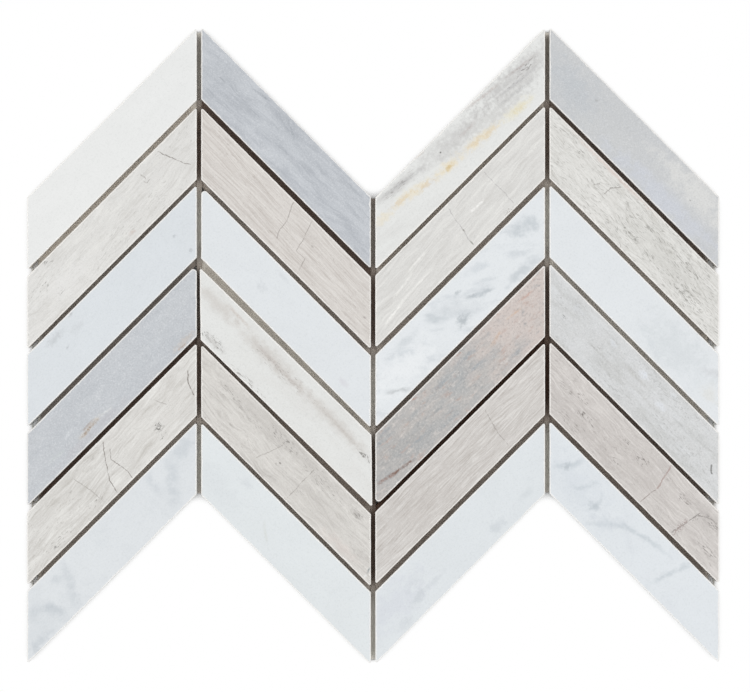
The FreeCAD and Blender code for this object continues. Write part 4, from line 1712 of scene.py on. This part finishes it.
@dataclass
class Adhesive:
    """The brown adhesive that bonds the stones to the net and has risen a little in every joint."""

    stones: list[Stone]
    sunk: float = 0.25 * MM
    depth: float = 2.6 * MM
    meniscus: float = 0.7 * MM
    tuck: float = 0.2 * MM
    end_gap: float = 4.3 * MM
    tip_gap: float = 1.9 * MM
    notch_gap: float = 0.3 * MM
    # Painted light at the sheet's sides and tips, and painted shade at its notches.
    painted_end_light: float = 0.7
    painted_tip_light: float = 0.4
    painted_notch_light: float = -0.25
    end_reach: float = 3.5 * MM
    notch_reach: float = 9.0 * MM
    slump: float = 2.5 * MM
    row_reach: float = 9.0 * MM
    spacing: float = 1.2 * MM
    top_points: int = 7
    waves: int = 6
    wave_turns: tuple[int, int] = (1, 26)
    wave: float = 0.08
    least_rise: float = 0.05
    sharp_past: float = 60.0
    seed: int = 23

    def strip(
        self,
        right: np.ndarray,
        left: np.ndarray,
        open_ends: tuple[bool, bool],
        chance: np.random.Generator,
    ) -> np.ndarray:
        """One closed strip between two walls.

        At share t of the way from the right wall to the left one, its top lies above the net by the
        depth plus the meniscus times |2 t - 1| ** 3, changed a little along its length. Near an open
        end it slumps as the root of the distance.

        Args:
            right: two points, the start and end of the wall to the right of the way along it.
            left: the start and end of the wall to the left.
            open_ends: whether its start and its end lie at the sheet's edge.
            chance: the source of its unevenness.

        Returns:
            An array of ring, place and x, y, z.
        """
        length = float(np.linalg.norm(right[1] - right[0]))
        many = max(4, int(length / self.spacing))
        share = np.linspace(0, 1, many)[:, None]
        a = right[0] + (right[1] - right[0]) * share
        b = left[0] + (left[1] - left[0]) * share
        over = (b - a) * self.tuck / np.linalg.norm(b - a, axis=1)[:, None]
        a, b = a - over, b + over
        t = np.linspace(0, 1, self.top_points)
        turns = chance.integers(*self.wave_turns, self.waves)
        phases = chance.uniform(0, 2 * math.pi, self.waves)
        rise = 1 + self.wave * ripple(share[:, 0] * length, length, turns, phases)
        for way, is_open in zip((share[:, 0], 1 - share[:, 0]), open_ends):
            if is_open:
                rise = rise * np.sqrt(np.clip(way * length / self.slump, self.least_rise, 1))
        height = rise[:, None] * (self.depth + self.meniscus * np.abs(2 * t - 1) ** 3)
        upper_plan = a[:, None, :] + (b - a)[:, None, :] * t[None, :, None]
        upper = np.concatenate([upper_plan, LAYOUT.net_thick + height[:, :, None]], axis=2)
        floor = np.full((many, 2, 1), LAYOUT.net_thick - self.sunk)
        lower = np.concatenate([np.stack([b, a], axis=1), floor], axis=2)
        return np.concatenate([upper, lower], axis=1)

    def painted_light_at_ends(self, places: np.ndarray, ends: tuple[tuple[float, float], tuple[float, float]]) -> np.ndarray:
        """How much more painted light there is towards the two ends of a strip.

        Each end gives its painted light times the square of 1 - distance / reach, where that is above zero.

        Args:
            places: how far along each ring lies from the first.
            ends: the painted light and the reach of the strip's start and of its end.

        Returns:
            The painted light added to each ring.
        """
        added = np.zeros_like(places)
        for (painted_joint_light, reach), apart in zip(ends, (places, places[-1] - places)):
            added += painted_joint_light * np.maximum(1 - apart / reach, 0) ** 2
        return added

    def build(self) -> bpy.types.Object:
        """Makes a strip for each joint between two rows and for each joint between two columns.

        The joint between two columns runs nearly to the notch at one end, and stops short of the two
        tips that meet at the other.

        The mark is painted light in the adhesive: the mean of what the two stones beside it pass into the
        joint, with more of it at the sheet's sides and tips, where light comes in at the open ends, and
        less, as painted shade, at its notches.

        Returns:
            The adhesive.
        """
        chance = np.random.default_rng(self.seed)
        at = {(stone.column, stone.row): stone.corners() for stone in self.stones}
        # The painted light that each stone passes into the adhesive beside it.
        painted_joint_light = {(stone.column, stone.row): stone.look.painted_joint_light for stone in self.stones}
        adhesive = Tubes()
        for column in range(1, LAYOUT.columns + 1):
            open_ends = (column == 1, column == LAYOUT.columns)
            first, last = np.array(open_ends) * self.end_gap / LAYOUT.run
            ends = np.array([[first], [1 - last]])
            for row in range(1, LAYOUT.rows):
                above, below = at[column, row], at[column, row + 1]
                upper_wall = above[0] + (above[1] - above[0]) * ends
                lower_wall = below[3] + (below[2] - below[3]) * ends
                rings = self.strip(lower_wall, upper_wall, open_ends, chance)
                places = np.linalg.norm(rings[:, 0, :2] - rings[0, 0, :2], axis=1)
                # More painted light towards the sheet's open sides.
                more = self.painted_light_at_ends(places, tuple((self.painted_end_light * end, self.end_reach) for end in open_ends))
                adhesive.add(rings, (painted_joint_light[column, row] + painted_joint_light[column, row + 1]) / 2 + more)
        for column in range(1, LAYOUT.columns):
            notch, tip = (self.painted_notch_light, self.notch_reach), (self.painted_tip_light, self.end_reach)
            below, above, ends = self.notch_gap, self.tip_gap, (notch, tip)
            if column_direction(column) == -1:
                below, above, ends = above, below, (tip, notch)
            low = max(at[column, LAYOUT.rows][1][1], at[column + 1, LAYOUT.rows][0][1]) + below
            high = min(at[column, 1][2][1], at[column + 1, 1][3][1]) - above
            x_left, x_right = at[column, 1][1][0], at[column + 1, 1][0][0]
            right_wall = np.array([(x_right, low), (x_right, high)])
            left_wall = np.array([(x_left, low), (x_left, high)])
            rings = self.strip(right_wall, left_wall, (True, True), chance)
            rows = range(LAYOUT.rows, 0, -1)
            middles = np.array([(at[column, row][1][1] + at[column, row][2][1]) / 2 for row in rows])
            spots = (middles[:, None] + np.array([-self.row_reach, self.row_reach])).ravel()
            means = np.repeat([(painted_joint_light[column, row] + painted_joint_light[column + 1, row]) / 2 for row in rows], 2)
            # Painted light towards the tips and painted shade towards the notches.
            more = self.painted_light_at_ends(rings[:, 0, 1] - rings[0, 0, 1], ends)
            adhesive.add(rings, np.interp(rings[:, 0, 1], spots, means) + more)
        piece = adhesive.piece("joint_adhesive", self.sharp_past, self.finish())
        return piece

    def finish(self) -> bpy.types.Material:
        """Brown adhesive, nearly matt, and painted the paler the more light its mark paints into the joint.
        """
        graph = Graph(bpy.data.materials.new("adhesive"))
        place = graph.millimetres()
        patchy = graph.noise(place, 6.0, 3.0, 0.6)
        grains = graph.noise(place, 0.8, 3.0, 0.6)
        # Painted light: the higher the mark, the paler the adhesive.
        painted_joint_light = graph.mark() + 0.2 * patchy + 0.03 * grains
        colour = graph.mix(painted_joint_light * abs(painted_joint_light), srgb(84, 56, 40), srgb(246, 240, 230))
        return graph.surface(colour, 0.75 + 0.2 * grains, graph.bump(grains, 0.06, 0.1 * MM), gleam=0.15)


# The stage


@dataclass
class Stage:
    """The white floor, the lamps, the world and the camera."""

    floor_size: float = 12.0
    floor_colour: Colour = (0.96, 0.96, 0.96)
    ambient: float = 0.6
    shadow_reach: float = 0.006
    camera_distance: float = 2.6
    sensor_mm: float = 36.0
    view_end: float = 100.0

    def seen(self, graph: Graph) -> Term:
        """1 for rays that the camera sees, straight on, in a reflection or through something clear."""
        path = graph.node("ShaderNodeLightPath")
        rays = [Term(graph, path.outputs[f"Is {kind} Ray"]) for kind in ("Camera", "Glossy", "Transmission")]
        return graph.math("MAXIMUM", graph.math("MAXIMUM", rays[0], rays[1]), rays[2])

    def floor(self) -> None:
        """A white floor that is plain white away from the sheet and takes its shadow close by."""
        half = self.floor_size / 2
        corners = [(-half, -half, 0), (half, -half, 0), (half, half, 0), (-half, half, 0)]
        mesh = bpy.data.meshes.new("floor")
        mesh.from_pydata(corners, [], [(0, 1, 2, 3)])
        graph = Graph(bpy.data.materials.new("white_floor"))
        reach = graph.node("ShaderNodeAmbientOcclusion", {"samples": 16}, {"Distance": self.shadow_reach})
        clear = graph.smooth(Term(graph, reach.outputs["AO"]), 0.3, 0.7)
        lit = graph.node("ShaderNodeBsdfDiffuse", {}, {"Color": self.floor_colour})
        white = graph.node("ShaderNodeEmission", {}, {"Color": (1.0, 1.0, 1.0), "Strength": 1.0})
        shaders = {0: clear * self.seen(graph), 1: lit.outputs[0], 2: white.outputs[0]}
        both = graph.node("ShaderNodeMixShader", {}, shaders)
        graph.node("ShaderNodeOutputMaterial", {}, {"Surface": both.outputs[0]})
        mesh.materials.append(graph.owner)
        floor = bpy.data.objects.new("floor", mesh)
        bpy.context.scene.collection.objects.link(floor)

    def world(self) -> None:
        """A white surrounding that lights the sheet at the ambient level and is seen as plain white."""
        world = bpy.data.worlds.new("studio")
        bpy.context.scene.world = world
        graph = Graph(world)
        strength = self.ambient + (1 - self.ambient) * self.seen(graph)
        background = graph.node("ShaderNodeBackground", {}, {"Color": (1.0, 1.0, 1.0), "Strength": strength})
        graph.node("ShaderNodeOutputWorld", {}, {"Surface": background.outputs[0]})

    def lamp(self, name: str, place: tuple[float, float, float], size: float, level: float) -> None:
        """A square lamp that points at the sheet and gives a level white face that much brightness.

        Its power is level times pi squared times the squared distance, divided by the cosine of the
        angle between the light's way and the upright.

        Args:
            name: the lamp's name.
            place: where it hangs.
            size: the length of its sides.
            level: the brightness it gives.
        """
        data = bpy.data.lights.new(name, "AREA")
        data.size = size
        away = Vector(place)
        data.energy = level * math.pi**2 * away.length_squared / (away.z / away.length)
        lamp = bpy.data.objects.new(name, data)
        lamp.location = away
        lamp.rotation_euler = away.to_track_quat("Z", "Y").to_euler()
        bpy.context.scene.collection.objects.link(lamp)

    def camera(self) -> None:
        """A long lens straight above the face, framed as the photograph is."""
        data = bpy.data.cameras.new("camera")
        data.sensor_width = self.sensor_mm
        data.lens = self.sensor_mm * self.camera_distance / PHOTO.view_width()
        data.clip_end = self.view_end
        x, y = PHOTO.place_mm((PHOTO.width_px / 2, PHOTO.height_px / 2))
        camera = bpy.data.objects.new("camera", data)
        camera.location = (x * MM, y * MM, LAYOUT.top + self.camera_distance)
        bpy.context.scene.collection.objects.link(camera)
        bpy.context.scene.camera = camera

    def build(self) -> None:
        """Makes the stage and sets how colours are shown."""
        self.floor()
        self.world()
        self.lamp("left_lamp", (-1.1, 0.0, 1.9), 1.4, 0.21)
        self.lamp("right_lamp", (1.0, 0.0, 1.9), 1.4, 0.19)
        self.camera()
        bpy.context.scene.view_settings.view_transform = "Standard"


def main() -> None:
    """Builds the sheet piece by piece, then its stage; each piece logs its triangle count."""
    logging.basicConfig(level=logging.INFO, format="%(name)s: %(message)s")
    stones = column_one() + column_two() + column_three() + column_four()
    for stone in stones:
        stone.build()
    Net().build()
    Adhesive(stones).build()
    Stage().build()


if __name__ == "__main__":
    main()
